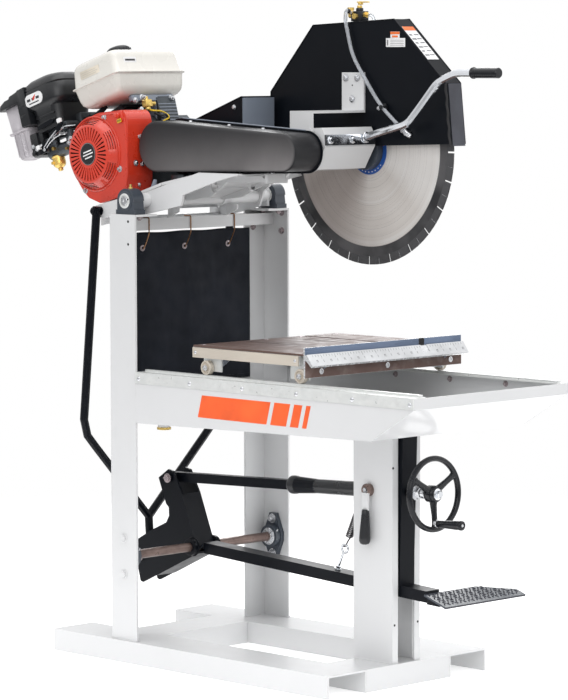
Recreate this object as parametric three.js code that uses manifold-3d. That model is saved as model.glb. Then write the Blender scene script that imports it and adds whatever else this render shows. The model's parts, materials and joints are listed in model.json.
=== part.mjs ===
// Pedal-operated masonry saw: a fixed stand with a water tray and a rolling cart, and a pivoting head
// that carries an engine, a belt drive and a guarded diamond blade. Millimetres, +Z up, +X to the operator.
// Every coordinate below is measured from the middle of the base on the floor; the last lines move the
// whole group so that the middle of its bounding box stands on the origin.
import * as THREE from 'three';
import { mergeVertices } from 'three/addons/utils/BufferGeometryUtils.js';
import Module from 'manifold-3d';

const wasm = await Module();
wasm.setup();

// ---------------------------------------------------------------- driving dimensions
const GAP = 0.35; // clearance kept between neighbouring pieces

const BASE = { length: 1063, width: 601.4, height: 60, channel: 143, wall: 5 };
const BASE_X = BASE.length / 2;
const BASE_Y = BASE.width / 2;

const LEG = { rear: -301.5, front: -201, outer: 290.8, wall: 6, flange: 80, top: 1214.6 };

const COLUMN = { rear: 383, front: 523, half: 52.4, wall: 5, lip: 21, top: 666.8 };

const TRAY = { rear: -294.9, front: 822.9, half: 291, wall: 3, top: 790, lip: 27 };
const TRAY_FLOOR_REAR = 655;
const TRAY_FLOOR_FRONT = 674;
const TRAY_SLOPE_X = 673.9;

const RAIL = { thick: 3, drop: 27, shelf: 42, bar: 12, barHeight: 6 };
const TRACK_Y = 262;

const HEAD_PIVOT = { x: -243.5, z: 1251 };
const PEDAL_PIVOT = { x: -251, z: 289 };
const SHAFT_RADIUS = 12.5;
const SHAFT_BORE = 12.85;

const ARBOR = { x: 255.3, z: 1387.1 };
const BLADE = { y: 140, radius: 304.8, core: 3.2, gullets: 24 };
const GUARD = { near: 111, far: 169, wall: 2.5 };
const JACKSHAFT = { x: -227, z: 1395 };
const BELT_GUARD = { near: -192, far: -92, rearRadius: 69, frontRadius: 50, wall: 2.5 };

const CRANK = { x: -434, z: 1372 };
const ENGINE_TILT = THREE.MathUtils.degToRad(-17);

const CART = { rear: 0, front: 440, half: 268, deckTop: 877, deckThick: 5, barHeight: 27 };
const WHEEL = { radius: 19, width: 14, rearX: 49, frontX: 399 };

const LINK_PIN = { x: -346, z: 472 };
const HANDWHEEL = { x: 621, z: 510, radius: 100 };
const PEDAL_SLOPE = -0.0521;
const ARM_HALF = { y: 25, z: 15 };
const YOKE = { topX: -395, topZ: 1218, y: 254, bendX: -456, bendZ: 612, joinX: -470, joinZ: 350 };
const YOKE_RADIUS = 11.5;
const CRANK_PIN = { x: -462, z: 240 };

// ---------------------------------------------------------------- finishes
function finish(color, roughness, metalness) {
  return () => new THREE.MeshStandardMaterial({ color, roughness, metalness });
}
const WHITE_PAINT = finish('#e9ecec', 0.35, 0.0);
const BLACK_PAINT = finish('#131519', 0.3, 0.1);
const DARK_CAST = finish('#343a42', 0.5, 0.5);
const GALVANISED = finish('#b4b8b6', 0.45, 0.8);
const BARE_STEEL = finish('#6b5a50', 0.45, 0.8);
const BRIGHT_STEEL = finish('#c9ccd0', 0.2, 1.0);
const CHROME = finish('#d6d9dd', 0.12, 1.0);
const RED_PAINT = finish('#cf3420', 0.35, 0.1);
const CREAM_PAINT = finish('#ece7dc', 0.35, 0.0);
const BLACK_PLASTIC = finish('#17181a', 0.4, 0.0);
const MILKY_PLASTIC = finish('#cfc8c8', 0.3, 0.0);
const RUBBER = finish('#141414', 0.8, 0.0);
const BRASS = finish('#c29a4a', 0.3, 1.0);
const CLEAR_VINYL = finish('#b9bec4', 0.2, 0.0);
const ENGINE_ALLOY = finish('#7c7f82', 0.5, 0.7);

// ---------------------------------------------------------------- solids
function solid(geometry) {
  const bare = geometry.clone();
  bare.deleteAttribute('normal');
  bare.deleteAttribute('uv');
  const merged = mergeVertices(bare, 1e-4);
  const source = new wasm.Mesh({
    numProp: 3,
    vertProperties: new Float32Array(merged.attributes.position.array),
    triVerts: new Uint32Array(merged.index.array),
  });
  return new wasm.Manifold(source);
}

function geometryOf(body) {
  const mesh = body.getMesh();
  const geometry = new THREE.BufferGeometry();
  geometry.setAttribute('position', new THREE.BufferAttribute(new Float32Array(mesh.vertProperties), 3));
  geometry.setIndex(new THREE.BufferAttribute(new Uint32Array(mesh.triVerts), 1));
  return geometry;
}

function union(...geometries) {
  return geometries.map(solid).reduce((sum, next) => sum.add(next));
}

function box(x0, x1, y0, y1, z0, z1) {
  const geometry = new THREE.BoxGeometry(x1 - x0, y1 - y0, z1 - z0);
  return geometry.translate((x0 + x1) / 2, (y0 + y1) / 2, (z0 + z1) / 2);
}

// A round bar whose ends lie at two points.
function bar(from, to, radius, sides = 16, endRadius = radius) {
  const start = new THREE.Vector3(...from);
  const end = new THREE.Vector3(...to);
  const direction = end.clone().sub(start);
  const geometry = new THREE.CylinderGeometry(endRadius, radius, direction.length(), sides);
  const turn = new THREE.Quaternion().setFromUnitVectors(
    new THREE.Vector3(0, 1, 0), direction.clone().normalize());
  const middle = start.add(end).multiplyScalar(0.5);
  return geometry.applyQuaternion(turn).translate(middle.x, middle.y, middle.z);
}

function alongY(x, z, y0, y1, radius, sides = 24) {
  return bar([x, y0, z], [x, y1, z], radius, sides);
}

function shapeOf(points) {
  return new THREE.Shape(points.map(([a, b]) => new THREE.Vector2(a, b)));
}

// An outline in the XZ plane, given as [x, z] points, made into a plate from y0 to y1.
function plateXZ(outline, y0, y1) {
  const shape = outline instanceof THREE.Shape ? outline : shapeOf(outline);
  const settings = { depth: y1 - y0, bevelEnabled: false, curveSegments: 10 };
  const geometry = new THREE.ExtrudeGeometry(shape, settings);
  return geometry.rotateX(Math.PI / 2).translate(0, y1, 0);
}

// An outline in the XY plane, given as [x, y] points, made into a plate from z0 to z1.
function plateXY(outline, z0, z1) {
  const settings = { depth: z1 - z0, bevelEnabled: false };
  return new THREE.ExtrudeGeometry(shapeOf(outline), settings).translate(0, 0, z0);
}

// The straight route through the points, with each corner rounded by a quadratic bend.
function roundedRoute(points, bend) {
  const corners = points.map((point) => new THREE.Vector3(...point));
  const route = new THREE.CurvePath();
  let start = corners[0];
  for (let i = 1; i < corners.length - 1; i += 1) {
    const corner = corners[i];
    const into = corner.clone().sub(corners[i - 1]).normalize();
    const out = corners[i + 1].clone().sub(corner).normalize();
    const before = corner.clone().addScaledVector(into, -bend);
    const after = corner.clone().addScaledVector(out, bend);
    route.add(new THREE.LineCurve3(start, before));
    route.add(new THREE.QuadraticBezierCurve3(before, corner, after));
    start = after;
  }
  route.add(new THREE.LineCurve3(start, corners[corners.length - 1]));
  return route;
}

function tubeAlong(route, radius, sides, steps) {
  const section = new THREE.Shape();
  for (let i = 0; i < sides; i += 1) {
    const angle = (2 * Math.PI * i) / sides;
    const point = [radius * Math.cos(angle), radius * Math.sin(angle)];
    if (i === 0) section.moveTo(...point);
    else section.lineTo(...point);
  }
  section.closePath();
  return new THREE.ExtrudeGeometry(section, { steps, extrudePath: route, bevelEnabled: false });
}

function mirrorY(geometry) {
  const flipped = geometry.clone().scale(1, -1, 1);
  const index = flipped.index ? flipped.index.array : null;
  if (index) {
    for (let i = 0; i < index.length; i += 3) [index[i], index[i + 1]] = [index[i + 1], index[i]];
    return flipped;
  }
  const position = flipped.attributes.position;
  for (let i = 0; i < position.count; i += 3) {
    const first = new THREE.Vector3().fromBufferAttribute(position, i);
    const second = new THREE.Vector3().fromBufferAttribute(position, i + 1);
    position.setXYZ(i, second.x, second.y, second.z);
    position.setXYZ(i + 1, first.x, first.y, first.z);
  }
  return flipped;
}

// ---------------------------------------------------------------- scene graph
const saw = new THREE.Group();

function addTo(group, name, shape, makeFinish) {
  const geometry = shape.isBufferGeometry ? shape : geometryOf(shape);
  const mesh = new THREE.Mesh(geometry, makeFinish());
  mesh.name = name;
  group.add(mesh);
}
const add = (name, shape, makeFinish) => addTo(saw, name, shape, makeFinish);

// ---------------------------------------------------------------- base
function upturnedChannel(x0, x1, y0, y1, alongX) {
  const { height, wall } = BASE;
  const outer = solid(box(x0, x1, y0, y1, 0, height));
  const hollow = alongX
    ? box(x0 - 1, x1 + 1, y0 + wall, y1 - wall, -1, height - wall)
    : box(x0 + wall, x1 - wall, y0 - 1, y1 + 1, -1, height - wall);
  return outer.subtract(solid(hollow));
}

function buildBase() {
  const inner = BASE_Y - BASE.channel;
  add('base_near_channel', upturnedChannel(-BASE_X, BASE_X, -BASE_Y, -inner, true), WHITE_PAINT);
  add('base_far_channel', upturnedChannel(-BASE_X, BASE_X, inner, BASE_Y, true), WHITE_PAINT);
  const reach = inner - GAP;
  const rearFront = -233;
  add('base_front_crossmember', upturnedChannel(BASE_X - BASE.channel, BASE_X, -reach, reach, false),
    WHITE_PAINT);
  add('base_rear_crossmember', upturnedChannel(rearFront - BASE.channel, rearFront, -reach, reach, false),
    WHITE_PAINT);
}

// ---------------------------------------------------------------- legs and their bearings
function legSolid() {
  const { rear, front, outer, wall, flange, top } = LEG;
  const foot = BASE.height + GAP;
  return union(
    box(rear, front, -outer, -outer + wall, foot, top),
    box(rear, rear + wall, -outer, -outer + flange, foot, top),
    box(rear, front, -outer, -outer + flange, top - wall, top));
}

// Rounded block on a foot, bored for the pivot shaft.
function pillowBlock() {
  const { x, z } = HEAD_PIVOT;
  const seat = LEG.top + GAP;
  const body = new THREE.Shape();
  body.moveTo(x - 33, seat);
  body.lineTo(x + 33, seat);
  body.lineTo(x + 33, seat + 14);
  body.lineTo(x + 30, z);
  body.absarc(x, z, 33, 0, Math.PI, false);
  body.lineTo(x - 33, seat + 14);
  const near = -286;
  const nipple = bar([x, -267, z + 32], [x, -267, z + 44], 3, 8);
  return union(plateXZ(body, near, near + 38), box(x - 38, x + 38, near, near + 38, seat, seat + 12), nipple)
    .subtract(solid(alongY(x, z, near - 1, near + 39, SHAFT_BORE)));
}

// Two-bolt flange bearing on the inner face of a leg.
function flangeBearing() {
  const { x, z } = PEDAL_PIVOT;
  const face = -LEG.outer + LEG.wall + GAP;
  const tall = 65;
  const outline = [[x - 12, z - tall], [x + 12, z - tall], [x + 34, z - 12], [x + 34, z + 12],
    [x + 12, z + tall], [x - 12, z + tall], [x - 34, z + 12], [x - 34, z - 12]];
  const bolts = [-49.5, 49.5].map((rise) => alongY(x, z + rise, face + 11, face + 20, 8, 6));
  return union(plateXZ(outline, face, face + 12), alongY(x, z, face + 11, face + 28, 32), ...bolts)
    .subtract(solid(alongY(x, z, face - 1, face + 29, SHAFT_BORE)));
}

function buildLegs() {
  const leg = geometryOf(legSolid());
  add('near_leg', leg, WHITE_PAINT);
  add('far_leg', mirrorY(leg), WHITE_PAINT);
  const block = geometryOf(pillowBlock());
  add('pivot_block_near', block, DARK_CAST);
  add('pivot_block_far', mirrorY(block), DARK_CAST);
  const bearing = geometryOf(flangeBearing());
  add('flange_bearing_near', bearing, DARK_CAST);
  add('flange_bearing_far', mirrorY(bearing), DARK_CAST);
}

// ---------------------------------------------------------------- curtain and its rail
const TOP_RAIL = { rear: -295, front: -257, low: 1168, high: 1200 };
const CURTAIN = { x: -282, thick: 4, near: -214, far: 218, low: 740, high: 1163 };
const HOOK_Y = { near: -190, mid: -35, far: 131 };

function buildCurtain() {
  const reach = LEG.outer - LEG.wall - GAP;
  add('top_rail', box(TOP_RAIL.rear, TOP_RAIL.front, -reach, reach, TOP_RAIL.low, TOP_RAIL.high),
    WHITE_PAINT);
  add('curtain', box(CURTAIN.x - CURTAIN.thick / 2, CURTAIN.x + CURTAIN.thick / 2, CURTAIN.near, CURTAIN.far,
    CURTAIN.low, CURTAIN.high), RUBBER);
  const wire = 1.8;
  const over = TOP_RAIL.high + wire + 0.7;
  const ahead = TOP_RAIL.front + wire + 0.7;
  for (const [side, y] of Object.entries(HOOK_Y)) {
    const route = roundedRoute([[-280, y, over], [ahead, y, over], [ahead, y, 1158], [ahead - 12, y, 1134],
      [CURTAIN.x + 5, y, 1117]], 4);
    add(`curtain_hook_${side}`, tubeAlong(route, wire, 6, 24), BRIGHT_STEEL);
  }
}

// ---------------------------------------------------------------- water tray and rails
function trayProfile(inset) {
  const { rear, front, top, lip } = TRAY;
  return [[rear + inset, TRAY_FLOOR_REAR + inset], [LEG.front, TRAY_FLOOR_REAR + inset],
    [TRAY_SLOPE_X - inset * 0.3, TRAY_FLOOR_FRONT + inset], [front - inset, top - lip + inset * 0.6],
    [front - inset, top + (inset ? 10 : 0)], [rear + inset, top + (inset ? 10 : 0)]];
}

function buildTray() {
  const { half, wall } = TRAY;
  const shell = solid(plateXZ(trayProfile(0), -half, half));
  const hollow = solid(plateXZ(trayProfile(wall), -half + wall, half - wall));
  const legNotch = box(TRAY.rear - 2, LEG.front + GAP, LEG.outer - LEG.wall - GAP, half + 2, 600, 820);
  const narrowInside = box(TRAY.rear - 2, LEG.front + wall + GAP, LEG.outer - 2 * LEG.wall, half, 600, 820);
  const innerCut = hollow.subtract(solid(narrowInside)).subtract(solid(mirrorY(narrowInside)));
  const drain = bar([-150, -235, TRAY_FLOOR_REAR - 14], [-150, -235, TRAY_FLOOR_REAR + 2], 17, 12);
  const tray = shell.subtract(innerCut).subtract(solid(legNotch)).subtract(solid(mirrorY(legNotch)))
    .add(solid(drain));
  add('water_tray', tray, WHITE_PAINT);
}

// Angle screwed over the tray's rim, with the raised bar that the wheels run on.
function nearRail() {
  const x0 = LEG.front + 1;
  const x1 = TRAY.front;
  const outside = -TRAY.half - GAP;
  const seat = TRAY.top + GAP;
  const shelfTop = seat + RAIL.thick;
  return union(
    box(x0, x1, outside - RAIL.thick, outside, seat - RAIL.drop, shelfTop),
    box(x0, x1, outside - RAIL.thick, outside + RAIL.shelf, seat, shelfTop),
    box(x0 + 12, x1 - 4, -TRACK_Y - RAIL.bar / 2, -TRACK_Y + RAIL.bar / 2, seat, shelfTop + RAIL.barHeight));
}

function buildRails() {
  const rail = geometryOf(nearRail());
  add('near_rail', rail, GALVANISED);
  add('far_rail', mirrorY(rail), GALVANISED);
}

// ---------------------------------------------------------------- front column and its lock lever
const LEVER = { x: 440, z: 510, length: 142 };

function buildColumn() {
  const { rear, front, half, wall, lip, top } = COLUMN;
  const foot = BASE.height + GAP;
  const mouth = half - lip;
  const slot = 33;
  const body = solid(box(rear, front, -half, half, foot, top))
    .subtract(solid(box(rear + wall, front - wall, -half + wall, half - wall, foot - 1, top + 1)))
    .subtract(solid(box(front - wall - 1, front + 1, -mouth, mouth, foot - 1, top + 1)))
    .subtract(solid(box(rear - 1, rear + wall + 1, -slot, slot, 80, 560)));
  add('front_column', body, WHITE_PAINT);
  const face = -half - GAP;
  add('lock_lever', union(
    alongY(LEVER.x, LEVER.z, face - 18, face, 17, 16),
    bar([LEVER.x, face - 14, LEVER.z], [LEVER.x + 3, face - 22, LEVER.z - 56], 5, 10),
    bar([LEVER.x + 3, face - 22, LEVER.z - 54], [LEVER.x + 2, face - 24, LEVER.z - LEVER.length], 9, 14, 13),
  ), BLACK_PLASTIC);
}

// ---------------------------------------------------------------- cart
function buildCart() {
  const { rear, front, half, deckTop, deckThick, barHeight } = CART;
  const barTop = deckTop - deckThick - GAP;
  const barLow = barTop - barHeight;
  const wheelZ = TRAY.top + GAP + RAIL.thick + RAIL.barHeight + WHEEL.radius + 0.3;
  const sideBars = [];
  for (const side of [-1, 1]) {
    const y0 = side < 0 ? -half : half - 6;
    sideBars.push(box(rear, front - 45, y0, y0 + 6, barLow, barTop));
    for (const x of [WHEEL.rearX, WHEEL.frontX - 25]) {
      const inner = side * (TRACK_Y - WHEEL.width / 2 - 5);
      const plate = box(x - 22, x + 46, Math.min(inner, inner + side * 4), Math.max(inner, inner + side * 4),
        wheelZ - 10, barTop);
      sideBars.push(plate);
    }
    for (const x of [WHEEL.rearX, WHEEL.frontX]) {
      const inner = side * (TRACK_Y - WHEEL.width / 2 - 4);
      const outer = side * (TRACK_Y + WHEEL.width / 2 + 1);
      sideBars.push(alongY(x, wheelZ, Math.min(inner, outer), Math.max(inner, outer), 5, 12));
    }
  }
  const crossBars = [20, 180, 350].map((x) => box(x, x + 40, -half + 1, half - 1, barLow, barTop));
  add('cart_frame', union(...crossBars, ...sideBars), GALVANISED);
  const slotHalf = 7;
  const deck = solid(box(rear + 4, front, -half - 2, half + 2, deckTop - deckThick, deckTop))
    .subtract(solid(box(rear - 1, front - 30, BLADE.y - slotHalf, BLADE.y + slotHalf,
      deckTop - 20, deckTop + 5)));
  add('cart_deck', deck, BARE_STEEL);

  // Fence: a tall flat bar across the front of the cart, with a sloping rule in front of it.
  const fenceX = front + GAP;
  const fenceHalf = 295;
  add('fence', plateXZ([[fenceX, 818], [fenceX + 5, 818], [fenceX + 5, 866], [fenceX + 28, 846],
    [fenceX + 31, 849], [fenceX + 12, 877], [fenceX + 4, 878], [fenceX + 4, 896], [fenceX, 896]],
  -fenceHalf, fenceHalf), BRIGHT_STEEL);

  const bore = 5.4;
  for (const [end, x] of [['rear', WHEEL.rearX], ['front', WHEEL.frontX]]) {
    for (const [name, side] of [['near', -1], ['far', 1]]) {
      const y = side * TRACK_Y;
      const reach = WHEEL.width / 2;
      const wheel = solid(alongY(x, wheelZ, y - reach, y + reach, WHEEL.radius, 28))
        .subtract(solid(alongY(x, wheelZ, y - reach - 1, y + reach + 1, bore, 12)));
      add(`cart_wheel_${end}_${name}`, wheel, BRIGHT_STEEL);
    }
  }
}

// ---------------------------------------------------------------- swinging head: arm and pivot
// The head's frame is a channel sloping up to the operator, square to the engine's own tilt, with a
// spine of two plates that carries the arbor.
const BED = { rear: -428, rearZ: 1217, front: -186, slope: Math.tan(-ENGINE_TILT), thick: 8 };
const bedZ = (x) => BED.rearZ + (x - BED.rear) * BED.slope;

function buildArm() {
  const { x, z } = HEAD_PIVOT;
  const hub = 19;
  const hubEnd = 240;
  const bed = plateXZ([[BED.rear, bedZ(BED.rear)], [BED.front, bedZ(BED.front)],
    [BED.front, bedZ(BED.front) + BED.thick], [BED.rear - 2, bedZ(BED.rear - 2) + BED.thick]], -209, 209);
  const nearFlange = plateXZ([[BED.rear, 1176], [x - 60, 1204], [x + 30, 1219], [x + 136, 1240],
    [x + 143, 1268], [x + 233, 1295], [x + 279, 1309], [x + 368, 1329.5], [x + 205, 1329.5], [x - 14, 1269],
    [BED.rear, bedZ(BED.rear) + 2]], -209, -201);
  const farFlange = plateXZ([[BED.rear, 1176], [x - 60, 1204], [x + 14, 1221], [x + 34, 1266], [x + 55, 1280],
    [BED.front, bedZ(BED.front) + 2], [BED.rear, bedZ(BED.rear) + 2]], 201, 209);
  const nearSpine = [[x - 34, z - 12], [x + 120, z + 8], [x + 183, z + 49], [x + 404, z + 53],
    [x + 408, z + 70], [ARBOR.x - 60, ARBOR.z - 40], [ARBOR.x - 60, ARBOR.z + 12], [x + 190, z + 76],
    [x - 34, z + 12]];
  const farSpine = [[x - 34, z - 12], [x + 90, z + 2], [x + 170, z + 34], [x + 262, z + 53],
    [x + 370, z + 78], [ARBOR.x - 60, ARBOR.z - 40], [ARBOR.x - 60, ARBOR.z + 12], [x + 190, z + 76],
    [x - 34, z + 12]];
  const lug = (y0) => plateXZ([[YOKE.topX - 20, YOKE.topZ - 18], [YOKE.topX + 20, YOKE.topZ - 18],
    [x - 70, z - 34], [x + 16, z - 30], [x + 16, z + 20], [x - 60, z + 6],
    [YOKE.topX - 20, YOKE.topZ + 14]], y0, y0 + 8);
  const carrier = plateXZ([[JACKSHAFT.x - 14, JACKSHAFT.z - 134], [JACKSHAFT.x + 60, JACKSHAFT.z - 116],
    [JACKSHAFT.x + 26, JACKSHAFT.z + 24], [JACKSHAFT.x - 26, JACKSHAFT.z + 24]], -72, -56);
  const arm = union(
    alongY(x, z, -hubEnd, hubEnd, hub),
    bed, nearFlange, farFlange, plateXZ(nearSpine, -84, -74), plateXZ(farSpine, 54, 64),
    plateXZ([[x, z + 4], [x + 186, z + 60], [ARBOR.x - 62, ARBOR.z], [ARBOR.x - 66, ARBOR.z - 14],
      [x + 188, z + 50], [x, z - 6]], -80, 60),
    lug(-240), lug(232), carrier,
    // Plate tying the front of the near flange to the spine, and a gusset under the arbor.
    plateXZ([[BED.front - 4, bedZ(BED.front)], [-38, 1321], [104, 1321], [104, 1327.5], [-40, 1327.5],
      [BED.front - 4, bedZ(BED.front) + BED.thick]], -205, -76),
    box(x + 396, x + 406, -150, -76, z + 53, z + 77),
    alongY(-395, 1190, -205, 205, 10, 16),
    box(ARBOR.x - 75, ARBOR.x - 60, -84, 64, ARBOR.z - 50, ARBOR.z + 10),
    box(x - 165, x - 152, -238, 238, z - 36, z - 24));
  const bored = arm
    .subtract(solid(alongY(x, z, -hubEnd - 5, hubEnd + 5, SHAFT_RADIUS + GAP)))
    .subtract(solid(alongY(JACKSHAFT.x, JACKSHAFT.z, -75, -50, 14)))
    .subtract(solid(alongY(YOKE.topX, YOKE.topZ, -250, 250, 7)))
    .subtract(solid(alongY(x + 136, z + 34, -90, 70, 14)))
    .subtract(solid(alongY(x + 330, z + 76, -90, 70, 14)));
  add('swing_arm', bored, WHITE_PAINT);
  add('pivot_shaft', alongY(x, z, -288, 288, SHAFT_RADIUS), BRIGHT_STEEL);
}

// ---------------------------------------------------------------- drive
function buildDrive() {
  const near = -91 + 7;
  const far = 104;
  const { x, z } = ARBOR;
  const section = [[x - 58, z - 52], [x + 18, z - 46], [x + 55, z + 14], [x + 52, z + 44], [x + 42, z + 64],
    [x - 52, z + 60]];
  const housing = solid(plateXZ(section, near, far)).subtract(solid(alongY(x, z, near - 1, far + 1, 16, 20)));
  add('arbor_housing', housing, WHITE_PAINT);

  const pulleyFar = BELT_GUARD.far - 18;
  const pulleyNear = pulleyFar - 56;
  add('arbor_shaft', union(
    alongY(x, z, pulleyNear - 6, BLADE.y + 24, 15, 20),
    alongY(x, z, pulleyNear, pulleyFar, 36, 28),
    alongY(x, z, GUARD.near + 5, BLADE.y - BLADE.core / 2 - GAP, 52, 28)), DARK_CAST);
  add('outer_flange', union(
    alongY(x, z, BLADE.y + BLADE.core / 2 + GAP, BLADE.y + 12, 50, 28),
    alongY(x, z, BLADE.y + 11, BLADE.y + 23, 22, 6))
    .subtract(solid(alongY(x, z, BLADE.y, BLADE.y + 30, 15 + GAP, 20))), DARK_CAST);
  add('jackshaft', union(
    alongY(JACKSHAFT.x, JACKSHAFT.z, pulleyNear - 6, 80, 13, 20),
    alongY(JACKSHAFT.x, JACKSHAFT.z, pulleyNear, pulleyFar, 52, 32),
    alongY(JACKSHAFT.x, JACKSHAFT.z, 45, 75, 56, 32)), DARK_CAST);
}

// A closed outline around two round ends of different radii.
function twoCircleOutline(rear, rearRadius, front, frontRadius) {
  const dx = front.x - rear.x;
  const dz = front.z - rear.z;
  const tilt = Math.atan2(dz, dx);
  const lean = Math.acos((rearRadius - frontRadius) / Math.hypot(dx, dz));
  const shape = new THREE.Shape();
  shape.absarc(front.x, front.z, frontRadius, tilt - lean, tilt + lean, false);
  shape.absarc(rear.x, rear.z, rearRadius, tilt + lean, tilt - lean + 2 * Math.PI, false);
  return shape;
}

function buildBeltGuard() {
  const { near, far, rearRadius, frontRadius, wall } = BELT_GUARD;
  const outer = twoCircleOutline(JACKSHAFT, rearRadius, ARBOR, frontRadius);
  const inner = twoCircleOutline(JACKSHAFT, rearRadius - wall, ARBOR, frontRadius - wall);
  const shell = solid(plateXZ(outer, near, far)).subtract(solid(plateXZ(inner, near + wall, far + 1)));
  add('belt_guard', shell, BLACK_PAINT);

  // Cover over the engine's own drive, behind the belt guard.
  const profile = [[-290, 1326], [-290, 1450], [-60, 1530], [-60, 1396]];
  const hollow = [[-287, 1316], [-287, 1448], [-63, 1526], [-63, 1380]];
  const cover = solid(plateXZ(profile, -27, 95)).subtract(solid(plateXZ(hollow, -24, 92)))
    .subtract(solid(alongY(JACKSHAFT.x, JACKSHAFT.z, -30, 0, 18)));
  add('drive_cover', cover, BLACK_PAINT);
}

// ---------------------------------------------------------------- blade and its guard
// Steel core with a radial gullet between neighbouring diamond segments.
function bladeOutline() {
  const { radius, gullets } = BLADE;
  const shape = new THREE.Shape();
  const slotHalf = 2.2 / radius;
  const depth = 22;
  const facets = 3;
  for (let i = 0; i < gullets; i += 1) {
    const start = (2 * Math.PI * i) / gullets;
    const end = (2 * Math.PI * (i + 1)) / gullets;
    for (let k = 0; k <= facets; k += 1) {
      const angle = start + slotHalf + ((end - start - 2 * slotHalf) * k) / facets;
      const point = [ARBOR.x + radius * Math.cos(angle), ARBOR.z + radius * Math.sin(angle)];
      if (i === 0 && k === 0) shape.moveTo(...point);
      else shape.lineTo(...point);
    }
    const floor = radius - depth;
    for (const angle of [end - slotHalf, end + slotHalf]) {
      shape.lineTo(ARBOR.x + floor * Math.cos(angle), ARBOR.z + floor * Math.sin(angle));
    }
  }
  const hole = new THREE.Path();
  hole.absarc(ARBOR.x, ARBOR.z, 15 + GAP, 0, 2 * Math.PI, true);
  shape.holes.push(hole);
  return shape;
}

const GUARD_OUTLINE = [[-89, 1388], [573, 1409], [556, 1567], [373, 1734], [73, 1720], [-89, 1541]];

function insetOutline(outline, inset) {
  const share = 1 / outline.length;
  const middle = outline.reduce((sum, [px, pz]) => [sum[0] + px * share, sum[1] + pz * share], [0, 0]);
  return outline.map(([px, pz]) => {
    const away = Math.hypot(px - middle[0], pz - middle[1]);
    const keep = 1 - (inset * 1.25) / away;
    return [middle[0] + (px - middle[0]) * keep, middle[1] + (pz - middle[1]) * keep];
  });
}

function buildBlade() {
  add('blade', plateXZ(bladeOutline(), BLADE.y - BLADE.core / 2, BLADE.y + BLADE.core / 2), BRIGHT_STEEL);
  const { near, far, wall } = GUARD;
  const inner = insetOutline(GUARD_OUTLINE, wall);
  inner[0][1] -= 60;
  inner[1][1] -= 60;
  const guard = solid(plateXZ(GUARD_OUTLINE, near, far))
    .subtract(solid(plateXZ(inner, near + wall, far - wall)))
    .subtract(solid(alongY(ARBOR.x, ARBOR.z, near - 1, near + wall + 1, 20)));
  add('blade_guard', guard, BLACK_PAINT);

  const bracketX = [187, 268];
  const footNear = -90.5;
  add('guard_bracket', union(
    box(...bracketX, footNear, footNear + 6, 1406, 1494),
    box(...bracketX, footNear, near - GAP, 1488, 1494),
    box(...bracketX, near - GAP - 6, near - GAP, 1488, 1594)), WHITE_PAINT);
}

// ---------------------------------------------------------------- lifting handle and water kit
const HANDLE_Y = 60;

function buildHandle() {
  const face = ARBOR.x + 57.5;
  const plate = plateXZ([[face, ARBOR.z + 18], [face + 6, ARBOR.z + 18], [face + 4, ARBOR.z + 46],
    [face - 2, ARBOR.z + 46]], -87, 98);
  const route = roundedRoute([[face + 4, HANDLE_Y, 1424], [470, HANDLE_Y, 1462], [516, HANDLE_Y, 1508],
    [575, HANDLE_Y, 1570], [640, HANDLE_Y, 1594], [782, HANDLE_Y, 1594]], 18);
  add('lift_handle', union(plate, tubeAlong(route, 10, 10, 40)), CHROME);
  const grip = solid(bar([697, HANDLE_Y, 1594], [788, HANDLE_Y, 1594], 13.5, 20))
    .subtract(solid(bar([694, HANDLE_Y, 1594], [783, HANDLE_Y, 1594], 10 + GAP, 12)));
  add('handle_grip', grip, RUBBER);
}

function buildWaterKit() {
  const seat = 1728.5;
  const valveY = 140;
  add('water_valve', union(
    box(196, 240, valveY - 16, valveY + 16, seat, seat + 36),
    bar([170, valveY, seat + 24], [197, valveY, seat + 24], 8, 10),
    bar([222, valveY, seat + 35], [222, valveY, seat + 44], 9, 10)), BRASS);
  add('valve_lever', union(
    bar([222, valveY, seat + 44.4], [222, valveY, seat + 52], 7, 10),
    box(216, 252, valveY - 5, valveY + 5, seat + 50, seat + 54)), BRASS);
  const route = new THREE.CatmullRomCurve3([
    [206, 120, 1752], [204, 106, 1757], [206, 99, 1735], [214, 99, 1700], [234, 99, 1640], [281, 99, 1574],
    [334, 99, 1510], [384, 99, 1468], [424, 99, 1439],
  ].map((point) => new THREE.Vector3(...point)), false, 'centripetal');
  add('water_hose', tubeAlong(route, 5, 8, 40), CLEAR_VINYL);
}

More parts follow.
